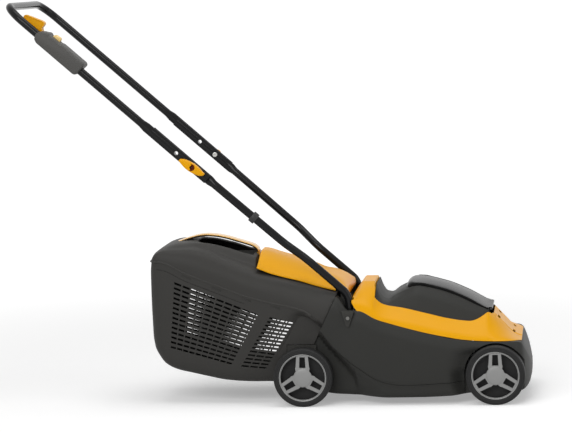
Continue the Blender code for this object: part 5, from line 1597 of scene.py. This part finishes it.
    def side_at(self, x: float, z: float) -> float:
        """Half width of the outer skin at a place.

        Args:
            x: Place along the catcher.
            z: Height.

        Returns:
            The half width.
        """
        points = self.half_section(SmoothTable(self.stations).at(x), 0.0, x)
        for (y0, z0), (y1, z1) in zip(points, points[1:]):
            if z0 <= z <= z1 and z1 > z0:
                return y0 + (y1 - y0) * (z - z0) / (z1 - z0)
        return points[-1][0]

    def arches(self, grow: float) -> list[Piece]:
        """Room for the rear wheels beside the tub.

        Args:
            grow: How much wider than the room they are.

        Returns:
            One tool for each side.
        """
        grown = [(x + out * grow, z + up * grow) for x, z, out, up in self.arch]
        outline = smooth_path(grown[:-2], 56) + grown[-2:]
        return [side_prism("wheel_arch", outline, *side.span(RIB_OUTER_Y - grow, BEYOND)) for side in Side]

    def front_tool(self) -> Piece:
        """Everything ahead of the catcher's front edge.

        Returns:
            The tool.
        """
        edge = [(x - self.front_gap, z + self.front_gap) for x, z in (SEAM_LOW, SEAM_TOP)]
        outline = (
            (self.front_notch, -0.02), (self.front_notch, edge[0][1]), *edge,
            (edge[1][0], 0.34), (0.2, 0.34), (0.2, -0.02),
        )
        return through_prism("front_cut", outline)

    def slot_tool(self, corners: tuple, side: Side) -> Piece:
        """Prisms for one group of slots: a grid whose bars are taken out, drawn through the wall.

        Args:
            corners: The four corners of the group and its number of columns.
            side: The side.

        Returns:
            The tool.
        """
        top_left, low_left, top_right, low_right = [Vector(corner) for corner in corners[:4]]
        columns = corners[4]
        thick, bar = self.slot_open, self.slot_bar
        across = 2 * columns
        down = 2 * self.slot_rows
        bpy.ops.object.select_all(action="DESELECT")
        bpy.ops.mesh.primitive_grid_add(x_subdivisions=across - 1, y_subdivisions=down - 1, size=0.2)
        tool = bpy.context.object
        low_y = side.value * self.slot_y
        for index, vert in enumerate(tool.data.vertices):
            i, j = index % across, index // across
            u = (i // 2 + (bar / 2 if i % 2 == 0 else 1 - bar / 2)) / columns
            row_place = (j // 2) / (self.slot_rows - 1)
            pitch = 1 / (self.slot_rows - 1)
            v = row_place + (thick / 2 if j % 2 else -thick / 2) * pitch
            at = top_left.lerp(low_left, v).lerp(top_right.lerp(low_right, v), u)
            vert.co = (at.x, low_y, at.y)
        with bench(tool, "FACE") as mesh:
            mesh.faces.ensure_lookup_table()
            columns_of_faces = across - 1
            for face in mesh.faces:
                i, j = face.index % columns_of_faces, face.index // columns_of_faces
                face.select = bool(i % 2 or j % 2)
            bmesh.update_edit_mesh(tool.data)
            bpy.ops.mesh.delete(type="FACE")
            pick_all()
            draw = (0.0, side.value * self.slot_draw, 0.0)
            bpy.ops.mesh.extrude_region_move(TRANSFORM_OT_translate={"value": draw})
            pick_all()
            bpy.ops.mesh.normals_make_consistent(inside=False)
        return tool

    def build(self) -> None:
        """Model and dress the three pieces."""
        self.tub()
        self.top()
        self.strap()

    def tub(self) -> None:
        """The slotted lower shell."""
        below = [*smooth_path(self.seam, 60), (0.12, 0.0), (-0.4, 0.0)]
        tub = loft("tub_shell", self.rings(0.0))
        hollow = loft("tub_hollow", self.rings(WALL))
        carve(hollow, self.arches(WALL))
        carve(tub, [hollow])
        carve(tub, [through_prism("below_seam", below)], "INTERSECT")
        carve(tub, self.arches(0.0))
        for side in Side:
            for group in self.slot_groups:
                carve(tub, [self.slot_tool(group, side)])
        carve(tub, [self.front_tool()])
        carve(tub, self.groove_tools())
        settle(tub, "catcher", self.paints["catcher_plastic"], ["catcher_tub"])

    def groove_tools(self) -> list[Piece]:
        """Ribbons that press the lower groove, and blocks for the clip marks under the flange.

        Returns:
            The tools of both sides.
        """
        seam = [(x, z) for x, z in smooth_path(self.seam, 90) if self.groove_x[0] < x < self.groove_x[1]]
        tools = []
        for side in Side:
            rings = []
            for x, z in seam:
                place = (x, self.side_at(x, z - self.groove_drop), z - self.groove_drop)
                rings.append(groove_ring(side, place, self.groove_wide, self.groove_narrow, self.groove_deep))
            tools.append(loft("lower_groove", rings))
            for middle in self.clip_places:
                ends = [(x, read_line(self.seam, x)) for x in (middle + self.clip_half, middle - self.clip_half)]
                (front_x, front), (rear_x, rear) = ends
                depth = self.side_at(middle, (front + rear) / 2 - 0.006) - self.clip_deep
                bottom, top = [((rear_x, rear - drop), (front_x, front - drop)) for drop in self.clip_drop]
                outline = (*bottom, *reversed(top))
                tools.append(side_prism("clip_mark", outline, *side.span(depth, 0.2)))
        return tools

    def flange(self) -> Piece:
        """The lip that runs round the lower edge of the top shell.

        Returns:
            The lip.
        """
        seam = [(x, z) for x, z in smooth_path(self.seam, 110) if self.flange_x[0] < x < self.flange_x[1]]
        right = [Vector((x, self.side_at(x, z), z)) for x, z in reversed(seam)]
        right += [Vector((x, y, read_line(self.seam, -0.36))) for x, y in self.rear_plan]
        path = right + [Vector((point.x, -point.y, point.z)) for point in reversed(right[:-1])]
        rings = []
        for k, point in enumerate(path):
            along = path[min(k + 1, len(path) - 1)] - path[max(k - 1, 0)]
            outward = Vector((along.y, -along.x, 0.0)).normalized()
            if outward.dot(Vector((point.x + 0.1, point.y, 0.0))) < 0.0:
                outward.negate()
            proud = 0.0012 + 0.0016 * ease(-0.33, -0.358, point.x)
            section = (
                (-self.flange_foot, self.flange_tall), (proud * 0.5, self.flange_tall),
                (proud, 0.003), (proud, 0.0006), (proud * 0.4, 0.0), (-self.flange_foot, 0.0),
            )
            rings.append([point + outward * out + Vector((0.0, 0.0, up)) for out, up in section])
        return loft("shell_flange", rings)

    def top(self) -> None:
        """The upper shell with the hand pocket."""
        above = [*[(x, z + self.seam_gap) for x, z in smooth_path(self.seam, 60)], (0.12, 0.45), (-0.4, 0.45)]
        top = loft("top_shell", self.rings(0.0))
        carve(top, [loft("top_hollow", self.rings(WALL))])
        carve(top, [through_prism("above_seam", above)], "INTERSECT")
        carve(top, [self.front_tool()])
        rear, front, half, floor = self.pocket
        wide, tight = self.pocket_corner, self.pocket_front
        plan = [
            *arc((rear + wide, half - wide), wide, 180, 90, 8), *arc((front - tight, half - tight), tight, 90, 0, 5),
        ]
        plan += [(x, -y) for x, y in reversed(plan)]
        liner = [(x + (-WALL if x < -0.2 else WALL), y + (WALL if y > 0 else -WALL)) for x, y in plan]
        carve(top, [plan_prism("pocket_liner", liner, floor - WALL, 0.35)], "UNION")
        carve(top, [plan_prism("pocket", plan, floor, 0.45)])
        soften(top, 0.0018, 2, 50.0)
        top = joined([top, self.flange()])
        settle(top, "catcher", self.paints["catcher_plastic"], ["catcher_top"])

    def strap(self) -> None:
        """The yellow carrying strap over the pocket, its top a paler yellow as a painted highlight, its sides and
        underside dark brown as painted shade.
        """
        line = smooth_path(self.strap_line, 60)
        rings = []
        for i, (x, z) in enumerate(line):
            before = Vector(line[max(i - 1, 0)])
            after = Vector(line[min(i + 1, len(line) - 1)])
            tangent = (after - before).normalized()
            normal = Vector((-tangent.y, tangent.x)) * self.strap_half
            rings.append([Vector((x + normal.x * k, y, z + normal.y * k)) for y, k in self.strap_section])
        strap = loft("strap_handle", rings)
        # The strap's top is a paler yellow than the cowl: a painted highlight
        settle(strap, "catcher", self.paints["strap_gloss"], ["catcher_handle"], 45.0)
        # The strap's sides and underside get dark brown: painted shade
        strap.data.materials.append(self.paints["under_brown"])
        for face in strap.data.polygons:
            if face.normal.z < -0.15 or (abs(face.normal.z) < 0.35 and abs(face.normal.y) > 0.8):
                face.material_index = 1


@dataclass
class Flap(SubAssembly):
    """The yellow rear flap over the discharge."""

    crown: tuple = mm(
        (-110, 329), (-109.2, 343), (-108, 356), (-106.2, 361.2), (-102, 361), (-63, 349.7), (-14, 334.5), (10, 326),
        (45, 310.5), (60, 305.8), (74, 300), (91, 290.5), (100, 282), (105.5, 274), (108, 264),
    )
    front: tuple = mm((107.5, 256.5), (104, 251.5), (96, 254), (86, 265))
    edge: tuple = mm(
        (80, 270), (65.5, 273.5), (29.9, 283.2), (-5.8, 294.6), (-41.5, 303.6), (-77.3, 313.8), (-104, 324.5),
    )
    plate: tuple = mm((104.5, 272.5), (106.6, 264), (106.2, 257), (103.5, 253), (96, 255), (87, 265.5), (77, 273.5))
    inner_front: tuple = mm((107.6, 259), (107, 256), (106, 255), (105.2, 258))
    half: float = 0.124
    crown_half: float = 0.026
    side_wall: float = 0.0035
    steps: int = 26
    # Clearance round the deck's ears: ranges of x, of distance from the middle and of z
    ear_room: tuple = mm((79, 120), (111.5, 130), (240, 300))
    # Name, distances from the middle and upper outline of the hinge's plates
    plates: tuple = (
        ("end_plate", 0.1078, 0.111, ((0.077, 0.2815), (0.09, 0.279), (0.099, 0.2755))),
        ("middle_plate", 0.06, 0.063, ((0.077, 0.2975), (0.09, 0.2898), (0.0985, 0.2822))),
    )
    knuckle_radius: float = 0.0062
    knuckle_reach: Point2 = (0.061, 0.11)
    pin_radius: float = 0.0027

    def height(self, x: float, z: float, y: float) -> float:
        """Height of the skin beside a point of its crown, falling to the side edge.

        Args:
            x: Place along the flap.
            z: Height of its crown there.
            y: Distance from the middle.

        Returns:
            The height.
        """
        edge = read_line(tuple(reversed(self.edge)), x) + WALL
        if z <= edge:
            return z
        out = max(abs(y) - self.crown_half, 0.0) / (self.half - self.crown_half)
        squareness = 1.6 + 1.9 * ease(0.04, 0.08, x)
        return z - (z - edge) * min(out, 1.0) ** squareness

    def ring(self, y: float, crown: Line, solid: bool) -> Ring:
        """One section: over the crown, round the front lip and back along the inside.

        Args:
            y: Place of the section.
            crown: Points of the crown.
            solid: Whether the section is filled.

        Returns:
            The ring of points.
        """
        top = [(x, self.height(x, z, y)) for x, z in crown]
        inside = []
        low = smooth_path(self.edge, len(crown))
        last = len(crown) - 1
        for i in range(last, -1, -1):
            x, z = crown[i]
            if solid:
                inside.append(low[last - i])
                continue
            shift = WALL * ease(-0.1, -0.106, x) - WALL * ease(0.098, 0.104, x)
            inset = self.height(x, z, y) - WALL
            inside.append((x + shift, max(inset, 0.256) if i < last - 3 else z))
        front = self.front if solid else self.inner_front
        return [Vector((x, y, z)) for x, z in (*top, *front, *inside)]

    def build(self) -> None:
        """Model and dress the flap."""
        crown = smooth_path(self.crown, 70)
        wall = self.half - self.side_wall
        sides = [self.half, (self.half + wall) / 2, wall]
        rings = [self.ring(-y, crown, True) for y in sides]
        hollow = wall - 0.0003
        rings += [self.ring(hollow * (2 * k / self.steps - 1), crown, False) for k in range(self.steps + 1)]
        rings += [self.ring(y, crown, True) for y in reversed(sides)]
        flap = loft("flap_shell", rings)
        carve(flap, [side_block("ear_clearance", side, *self.ear_room) for side in Side])
        flap = joined([flap, *[self.knuckle(side) for side in Side]])
        settle(flap, "flap", self.paints["yellow_gloss"], ["rear_flap"], 40.0)

    def knuckle(self, side: Side) -> Piece:
        """The hinge barrel of one side, with its two plates and the pin's hole.

        Args:
            side: The side.

        Returns:
            The barrel.
        """
        barrel = rod("flap_knuckle", self.knuckle_radius, *side.span(*self.knuckle_reach), FLAP_HINGE, "Y", 32)
        plates = [
            side_prism(name, (*upper, *self.plate), *side.span(near, far)) for name, near, far, upper in self.plates
        ]
        carve(barrel, plates, "UNION")
        carve(barrel, [rod("flap_pin_bore", self.pin_radius, -0.13, 0.13, FLAP_HINGE, "Y", 24)])
        return barrel


@dataclass
class Wheel(SubAssembly):
    """One wheel: grooved tyre with its disc, grey trim and the nut behind it."""

    place: str
    side: Side
    x: float
    # Rows of radius and y of the tyre, the trim and the nut
    tyre_profile: tuple = mm(
        (11.5, 147), (11.5, 158), (59, 158), (61, 147), (65.5, 147), (68, 147.8), (69.4, 149.2), (70, 151.2),
        (70, 180.6), (69.5, 182.6), (68.4, 183.9), (66.8, 184.7), (66.1, 184.9), (65.8, 184.3), (65.2, 184.3),
        (64.9, 184.9), (62.7, 185), (62.4, 184.4), (61.8, 184.4), (61.5, 185), (58.8, 185), (57.6, 184.6),
        (57.3, 183.8), (57.3, 164), (12, 162), (12, 172), (5.3, 172), (5.3, 147),
    )
    trim_profile: tuple = mm(
        (0, 179), (52.5, 179), (54.5, 170), (56.6, 169), (56.8, 183.6), (56.4, 184.3), (55.6, 184.5), (54.5, 184.1),
        (54, 183.2), (53.2, 182.2), (40, 182.2), (21.2, 183), (20.5, 183.8), (19, 184.3), (10, 184.8), (0, 184.9),
    )
    nut_profile: tuple = mm((5.3, 172.5), (9.5, 172.5), (9.8, 173.5), (9.2, 174.6), (6, 176.5), (5.3, 176.5))
    # The window inside a double spoke, and one edge of the gap between two, as (across, up) the spoke
    window: tuple = mm((-6.4, 49.5), (6.4, 49.5), (7.6, 24), (-7.6, 24))
    gap_edge: tuple = mm((14, 51), (16, 26.2), (17.2, 22.5))
    hub_radius: float = 0.0222
    ring_radius: float = 0.0528
    spokes: int = 3

    @property
    def centre(self) -> Vector:
        """Middle of the axle."""
        return Vector((self.x, 0.0, WHEEL_RADIUS))

    @property
    def body(self) -> str:
        """The CAD body that turns with the wheel."""
        return f"{self.place}_{self.side.word}_wheel"

    def turned_part(self, kind: str, profile: Line, steps: int) -> Piece:
        """Turned part of this wheel, named by its kind and the wheel's place."""
        return turned_side(f"{self.place}_{kind}_{self.side.word}", profile, self.side, self.centre, steps)

    def build(self) -> None:
        """Model and dress the wheel."""
        self.tyre()
        self.trim()
        nut = self.turned_part("nut", self.nut_profile, 24)
        settle(nut, self.body, self.paints["steel"], [f"{self.place}_retainer_{self.side.word}"])

    def tyre(self) -> None:
        """Tyre with grooved side, shallow tread and the dark disc."""
        tyre = self.turned_part("tyre", self.tyre_profile, 96)
        settle(tyre, self.body, self.paints["tyre_plastic"], [f"{self.place}_wheel_{self.side.word}"])

    def opening(self, outline: Line, k: int) -> Piece:
        """One opening of the trim, turned to its spoke; the outline is (across, up).

        Args:
            outline: Outline beside an upright spoke.
            k: Number of the spoke.

        Returns:
            The tool.
        """
        turn = 2 * pi * k / self.spokes
        points = [
            (self.x + across * cos(turn) + up * sin(turn), WHEEL_RADIUS - across * sin(turn) + up * cos(turn))
            for across, up in outline
        ]
        return through_prism("trim_opening", points, 0.2)

    def round_edge(self, radius: float, degrees: Sequence[int]) -> list[Point2]:
        """Points of a circle round the hub, at angles from the spoke."""
        return [(radius * sin(radians(a)), radius * cos(radians(a))) for a in degrees]

    def trim(self) -> None:
        """Three double spokes in a deep ring."""
        plate = self.turned_part("rim", self.trim_profile, 96)
        turn = radians(360 / self.spokes)
        gap = [
            *self.gap_edge, *self.round_edge(self.hub_radius, range(46, 75, 7)),
            *[
                (up * sin(turn) - across * cos(turn), up * cos(turn) + across * sin(turn))
                for across, up in reversed(self.gap_edge)
            ],
            *self.round_edge(self.ring_radius, range(102, 17, -6)),
        ]
        tools = [self.opening(outline, k) for k in range(self.spokes) for outline in (self.window, gap)]
        carve(plate, tools, solver="MANIFOLD")
        node = f"{self.place}_trim_{self.side.word}"
        settle(plate, self.body, self.paints["trim_grey"], [node], 30.0)


@dataclass
class PushHandle(SubAssembly):
    """Lower tubes and the folding upper handle."""

    corner: float = 0.055
    low_corner: float = 0.045
    sides: int = 28
    pitch: float = 0.02
    # Rows of the distance along the leg and y of a lower tube, the first four on its flat end
    lower_knots: tuple = (
        (0.129, LOWER_TOP_Y), (0.115, LOWER_TOP_Y), (0.05, LOWER_TOP_Y), (-0.052, LOWER_TOP_Y),
        (-0.064, 0.1881), (-0.17, 0.182), (-0.265, 0.1765), (-0.285, 0.1725), (-0.335, 0.1435),
        (-0.356, LOWER_LOW_Y),
    )
    upper_stops: tuple = mm(-46, -30, 50, 144, 172)
    flat_points: int = 4
    foot_z: float = 0.19
    # Distance along the leg and radius of each hole through the flattened tubes
    bores: tuple = ((0.0, 0.0033), (0.05, 0.0046))
    bore_reach: float = 0.02

    def pipe(self, name: str, path: Sequence[Vector], flat: Sequence[bool], first_side: Vector) -> Piece:
        """Tube along a path, flattened where asked, with points added on its long straights.

        Args:
            name: Name of the tube.
            path: Points of its middle line.
            flat: Whether each is flattened.
            first_side: Direction across the flat.

        Returns:
            The tube.
        """
        path, flat = self.dense(path, flat)
        sizes = [(FLAT_TALL, FLAT_THIN) if is_flat else (TUBE_RADIUS, TUBE_RADIUS) for is_flat in flat]
        return loft(name, tube_rings(path, sizes, first_side, self.sides))

    def dense(self, path: Sequence[Vector], flat: Sequence[bool]) -> tuple[list[Vector], list[bool]]:
        """The path and its flags with points added on its long straights.

        Args:
            path: Points of the middle line.
            flat: Whether each is flattened.

        Returns:
            Both, with the new points.
        """
        points = [path[0]]
        flags = [flat[0]]
        for k in range(1, len(path)):
            steps = max(1, ceil((path[k] - path[k - 1]).length / self.pitch))
            for step in range(1, steps + 1):
                points.append(path[k - 1].lerp(path[k], step / steps))
                flags.append(flat[k] if step == steps else flat[k] and flat[k - 1])
        return points, flags

    def bore_tools(self, middle: float) -> list[Piece]:
        """Rods for the holes of a tube whose middle stands at a y."""
        low, high = middle - self.bore_reach, middle + self.bore_reach
        return [rod("bolt_bore", radius, low, high, on_leg(a, 0.0, 0.0), "Y", 24) for a, radius in self.bores]

    def lower(self, side: Side) -> None:
        """One lower tube, from the fold joint down into the deck.

        Args:
            side: The side.
        """
        sign = side.value
        path = [on_leg(along, 0.0, sign * y) for along, y in self.lower_knots]
        run = -(SOCKET_X - PIVOT.x) / -cos(LEG_ANGLE)
        bend = Vector((SOCKET_X, sign * LOWER_LOW_Y, on_leg(run, 0.0, 0.0).z))
        low = Vector((SOCKET_X, sign * LOWER_LOW_Y, self.foot_z))
        path += arc_corner(path[-1], bend, low, self.low_corner, 10)
        path.append(low)
        flat = [k < self.flat_points for k in range(len(path))]
        tube = self.pipe(f"lower_tube_{side.word}", path, flat, Vector((0.0, sign, 0.0)))
        carve(tube, self.bore_tools(sign * LOWER_TOP_Y))
        settle(tube, "chassis", self.paints["tube_paint"], [f"lower_handle_{side.word}"], 50.0)

    def upper(self) -> None:
        """The U-shaped upper handle."""
        corner_right = on_leg(LEG_LENGTH, 0.0, -HANDLE_HALF)
        corner_left = on_leg(LEG_LENGTH, 0.0, HANDLE_HALF)
        right = [on_leg(along, 0.0, -HANDLE_HALF) for along in self.upper_stops]
        left = [on_leg(along, 0.0, HANDLE_HALF) for along in reversed(self.upper_stops)]
        path = right + arc_corner(right[-1], corner_right, corner_left, self.corner, 14)
        path += arc_corner(corner_right, corner_left, left[0], self.corner, 14) + left
        flat = [min(k, len(path) - 1 - k) < self.flat_points for k in range(len(path))]
        tube = self.pipe("upper_tube", path, flat, RIGHTWARDS)
        for side in Side:
            carve(tube, self.bore_tools(side.value * HANDLE_HALF))
        settle(tube, "push_handle", self.paints["tube_paint"], ["upper_handle"], 50.0)

    def build(self) -> None:
        """Model and dress the handle."""
        for side in Side:
            self.lower(side)
        self.upper()


@dataclass
class FoldJoint(SubAssembly):
    """One fold joint of the handle: its bolt and the wing knob outside it."""

    side: Side
    rest_turn: float = 11.0
    far_narrow: float = 0.72
    # Half of the wing's outline, and rows of y and scale through its thickness
    wing: tuple = mm((34.5, -1.2), (33.5, 3), (28, 7), (18, 9.8), (5, 10.8), (-8, 9.8), (-19, 7), (-28.5, 3.5))
    wing_rows: tuple = (
        (0.2093, 0.94), (0.21, 0.98), (0.2112, 1.0), (0.2203, 1.0), (0.2218, 0.975), (0.2229, 0.92), (0.2233, 0.84),
    )
    # Rows of radius and y of the bolt, the knob's boss and its bore
    bolt_profile: tuple = mm(
        (0, 180.3), (2, 180.3), (2.5, 179.4), (3.2, 179.2), (5, 179.2), (5.9, 179.7), (6.2, 180.7), (6.2, 182.7),
        (3, 182.7), (3, 218), (0, 218),
    )
    boss_profile: tuple = mm(
        (0, 205.8), (9.8, 205.8), (10.5, 206.6), (10.5, 222.3), (9.8, 223.2), (8.5, 223.4), (7.5, 222.9), (6, 222.7),
        (0, 222.7),
    )
    bore_profile: tuple = mm((0, 190), (3.3, 190), (3.3, 219), (4.2, 219), (4.2, 260), (0, 260))
    # Painted shade in the knob's hole: y beyond which the bolt's faces get it, and the radius round the axis within
    # which the knob's faces get it
    tip_y: float = 0.205
    tip_radius: float = 0.0044

    def build(self) -> None:
        """Model and dress the bolt and the knob."""
        self.bolt()
        self.knob()

    def bolt(self) -> None:
        """The bolt, its end in the knob's hole painted red-brown as shade."""
        bolt = turned_side(f"bolt_{self.side.word}", self.bolt_profile, self.side, PIVOT, 32)
        settle(bolt, "chassis", self.paints["zinc"], [f"fold_bolt_{self.side.word}"])
        # Faces of the bolt's end inside the knob's hole get painted shade
        bolt.data.materials.append(self.paints["bolt_brown"])
        for face in bolt.data.polygons:
            if abs(face.center.y) > self.tip_y:
                face.material_index = 1

    def knob(self) -> None:
        """The wing knob round its boss, the walls of its bore painted red-brown as shade."""
        near = self.side is Side.RIGHT
        narrow = 1.0 if near else self.far_narrow
        turn = radians(self.rest_turn) if near else 0.0
        outline = [*self.wing, *[(-along, -up) for along, up in self.wing], self.wing[0]]
        turned_outline = [
            (a * cos(turn) + b * sin(turn), (b * cos(turn) - a * sin(turn)) * narrow)
            for a, b in smooth_path(outline, 57)[:-1]
        ]
        knob = loft(f"knob_{self.side.word}", [
            [on_leg(along * scale, up * scale, self.side.value * y) for along, up in turned_outline]
            for y, scale in self.wing_rows
        ])
        carve(knob, [turned_side("knob_boss", self.boss_profile, self.side, PIVOT, 40)], "UNION")
        carve(knob, [turned_side("knob_bore", self.bore_profile, self.side, PIVOT, 32)])
        body, node = f"{self.side.word}_knob", f"wing_knob_{self.side.word}"
        settle(knob, body, self.paints["yellow_gloss"], [node], 40.0)
        # Faces round the axis, the walls of the bore, get painted shade
        knob.data.materials.append(self.paints["bolt_brown"])
        axis = Vector((PIVOT.x + ROOT_SHIFT, PIVOT.z))
        for face in knob.data.polygons:
            if (Vector((face.center.x, face.center.z)) - axis).length < self.tip_radius:
                face.material_index = 1


@dataclass
class CableClip(SubAssembly):
    """The black clip that holds the lead to the right lower tube."""

    low: Vector = on_leg(-0.194, 0.0, -0.1806)
    high: Vector = on_leg(-0.18, 0.0, -0.1814)
    # Share of the length and half sizes of each ring
    rows: tuple = (
        (0.0, 0.0128, 0.0123), (0.1, 0.0135, 0.013), (0.9, 0.0135, 0.013), (1.0, 0.0128, 0.0123),
    )
    bore: float = TUBE_RADIUS + 0.0006
    bore_reach: float = 0.02
    steps: int = 32

    def build(self) -> None:
        """Model and dress the clip."""
        path = [self.low.lerp(self.high, share) for share, _, _ in self.rows]
        clip = loft("lead_clip", tube_rings(path, [row[1:] for row in self.rows], RIGHTWARDS, self.steps))
        reach = (self.high - self.low).normalized() * self.bore_reach
        ends = [self.low - reach, self.high + reach]
        carve(clip, [loft("clip_bore", tube_rings(ends, [(self.bore, self.bore)] * 2, RIGHTWARDS, self.steps))])
        settle(clip, "chassis", self.paints["black_plastic"], ["cable_clip"])


@dataclass
class SwitchBox(SubAssembly):
    """The switch box on the right leg, with its start lever and lock button."""

    outline: tuple = mm(
        (350, -16), (470, -16), (479.5, -12), (484.5, 2), (478, 14), (464, 21.5), (459, 22), (456, 20), (426, 20),
        (420, 22), (352, 22), (347, 18),
    )
    lever_outline: tuple = mm(
        (468, 2), (473, 0.5), (485, 3), (533, 6), (537, 10.5), (535, 16), (498, 29), (490, 30.5), (485.5, 28),
        (485, 16.5), (477.5, 10.5), (469, 10),
    )
    button_outline: tuple = mm((431, 12), (451, 12), (451, 23.5), (447.5, 27), (435, 28.5), (431, 25))
    lever_pin: Point2 = (0.473, 0.006)
    lever_y: Point2 = (-0.1883, -0.168)
    button_y: Point2 = (-0.1945, -0.1775)
    pin_radius: float = 0.0017
    pin_y: Point2 = (-0.23, -0.15)
    screws: tuple = ((0.362, -0.0128), (0.4585, -0.012))
    screw_radius: float = 0.0016
    screw_y: Point2 = (-0.215, -0.15)
    # Name, node, y of the parting plane and of the outside of each half
    halves: tuple = (
        ("grip_outer", "switch_box_outer", -0.2002, -0.221), ("grip_inner", "switch_box_inner", -0.1998, -0.163),
    )
    # Name and ranges along, above and across the leg of what is hollow in the inner half
    rooms: tuple = (
        ("lever_notch", (0.4645, 0.5), (-0.01, 0.04), (-0.189, -0.167)),
        ("button_slot", (0.4295, 0.4525), (0.01, 0.04), (-0.196, -0.176)),
        ("switch_cavity", (0.38, 0.452), (-0.012, 0.0175), (-0.1985, -0.1665)),
    )
    channel: Point2 = (0.3, 0.52)
    channel_radius: float = 0.0098
    # The rounding of a half: its corners, its depth, and the middle and shares it shrinks by
    corner: float = 0.009
    deep: float = 0.0125
    middle: Point2 = (0.415, 0.002)
    shrink: Point2 = (0.03, 0.26)
    round_steps: int = 8
    small_corner: float = 0.004
    rim: float = 0.0022
    rim_slope: float = 0.0006
    rim_deep: float = 0.0016

    def prism(self, name: str, outline: Line, low_y: float, high_y: float) -> Piece:
        """Outline in the leg's frame, drawn out along Y."""
        return loft(name, [[on_leg(a, b, y) for a, b in outline] for y in (low_y, high_y)])

    def box(self, name: str, along: Point2, up: Point2, across: Point2) -> Piece:
        """Box in the leg's frame."""
        return self.prism(name, rectangle(along, up), *across)

    def dense(self, outline: Line, radius: float, steps: int = 6) -> list[Point2]:
        """The outline with each corner rounded.

        Args:
            outline: Points of the outline.
            radius: Largest radius.
            steps: Steps of a corner.

        Returns:
            The rounded outline.
        """
        points = [Vector((a, b, 0.0)) for a, b in outline]
        rounded = []
        for k, corner in enumerate(points):
            before, after = points[k - 1], points[(k + 1) % len(points)]
            room = min((before - corner).length, (after - corner).length) * 0.48
            half = (before - corner).angle(after - corner) / 2
            fit = min(radius, room * sin(half) / cos(half)) if half < 1.55 else 0.0
            if fit < 0.0002:
                rounded.append((corner.x, corner.y))
                continue
            rounded += [(p.x, p.y) for p in arc_corner(before, corner, after, fit, steps)]
        return rounded

    def half(self, name: str, flat_y: float, far_y: float) -> Piece:
        """One half of the box: flat where it meets the other, rounded on its outside.

        Args:
            name: Name of the half.
            flat_y: Its flat side.
            far_y: Its outside.

        Returns:
            The new piece.
        """
        outline = self.dense(self.outline, self.corner)
        rings = [[on_leg(a, b, flat_y) for a, b in outline]]
        sign = 1.0 if far_y > flat_y else -1.0
        mid_a, mid_b = self.middle
        for k in range(self.round_steps + 1):
            turn = radians(90 * k / self.round_steps)
            y = far_y - sign * self.deep * (1 - sin(turn))
            share_a, share_b = [1 - shrink * (1 - cos(turn)) for shrink in self.shrink]
            rings.append([on_leg(mid_a + (a - mid_a) * share_a, mid_b + (b - mid_b) * share_b, y) for a, b in outline])
        return loft(name, rings)

    def build(self) -> None:
        """Model and dress the box, the lever and the button."""
        self.housing()
        self.lever()
        self.button()

    def housing(self) -> None:
        """The two halves, with the tube's channel and the room for lever, button and switch."""
        ends = [on_leg(along, 0.0, -HANDLE_HALF) for along in self.channel]
        sizes = [(self.channel_radius, self.channel_radius)] * 2
        for name, node, flat_y, far_y in self.halves:
            half = self.half(name, flat_y, far_y)
            tools = [loft("tube_channel", tube_rings(ends, sizes, RIGHTWARDS, 32))]
            if node == "switch_box_inner":
                tools += [self.box(*room) for room in self.rooms]
                tools.append(self.pin_bore())
            for a, b in self.screws:
                tools.append(rod("box_screw_bore", self.screw_radius, *self.screw_y, on_leg(a, b, 0.0), "Y", 16))
            carve(half, tools)
            settle(half, "push_handle", self.paints["switch_grey"], [node], 38.0)

    def pin_bore(self) -> Piece:
        """Rod for the hole of the lever's pin."""
        return rod("lever_pin_bore", self.pin_radius, *self.pin_y, on_leg(*self.lever_pin, 0.0), "Y", 20)

    def lever(self) -> None:
        """The yellow start lever with a rim round its side."""
        lever = self.prism("squeeze_lever", self.dense(self.lever_outline, self.small_corner), *self.lever_y)
        for side_y in self.lever_y:
            with bench(lever, "FACE") as mesh:
                bpy.ops.mesh.select_all(action="DESELECT")
                for face in mesh.faces:
                    face.select = len(face.verts) > 8 and abs(face.calc_center_median().y - side_y) < 0.0005
                bmesh.update_edit_mesh(lever.data)
                bpy.ops.mesh.inset(thickness=self.rim, depth=0.0)
                bpy.ops.mesh.inset(thickness=self.rim_slope, depth=-self.rim_deep)
        carve(lever, [self.pin_bore()])
        settle(lever, "lever", self.paints["yellow_gloss"], ["start_lever"], 40.0)

    def button(self) -> None:
        """The lock button, its yellow painted pale as a highlight."""
        button = self.prism("safety_button", self.dense(self.button_outline, self.small_corner), *self.button_y)
        soften(button, 0.0016, 3, 50.0)
        settle(button, "button", self.paints["pale_yellow"], ["lock_button"], 40.0)


def dress_kept_nodes(paints: Paintbox) -> None:
    """Give each CAD node that stays its finish.

    Args:
        paints: The finishes.
    """
    for finish, names in KEPT_NODES.items():
        for name in names:
            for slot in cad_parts[name].material_slots:
                slot.material = paints[finish]
        log.info("%s on %s", finish, ", ".join(names))


def main() -> None:
    """Build the scene in order."""
    logging.basicConfig(level=logging.INFO, format="%(message)s")
    Studio().build()
    paints = Paintbox()
    dress_kept_nodes(paints)
    for assembly in (Deck, Cowl, Hood, Catcher, Flap):
        assembly(paints).build()
    for place, x in (("rear", 0.0), ("front", WHEELBASE)):
        for side in Side:
            Wheel(paints, place, side, x).build()
    PushHandle(paints).build()
    for side in Side:
        FoldJoint(paints, side).build()
    CableClip(paints).build()
    SwitchBox(paints).build()


if __name__ == "__main__":
    main()
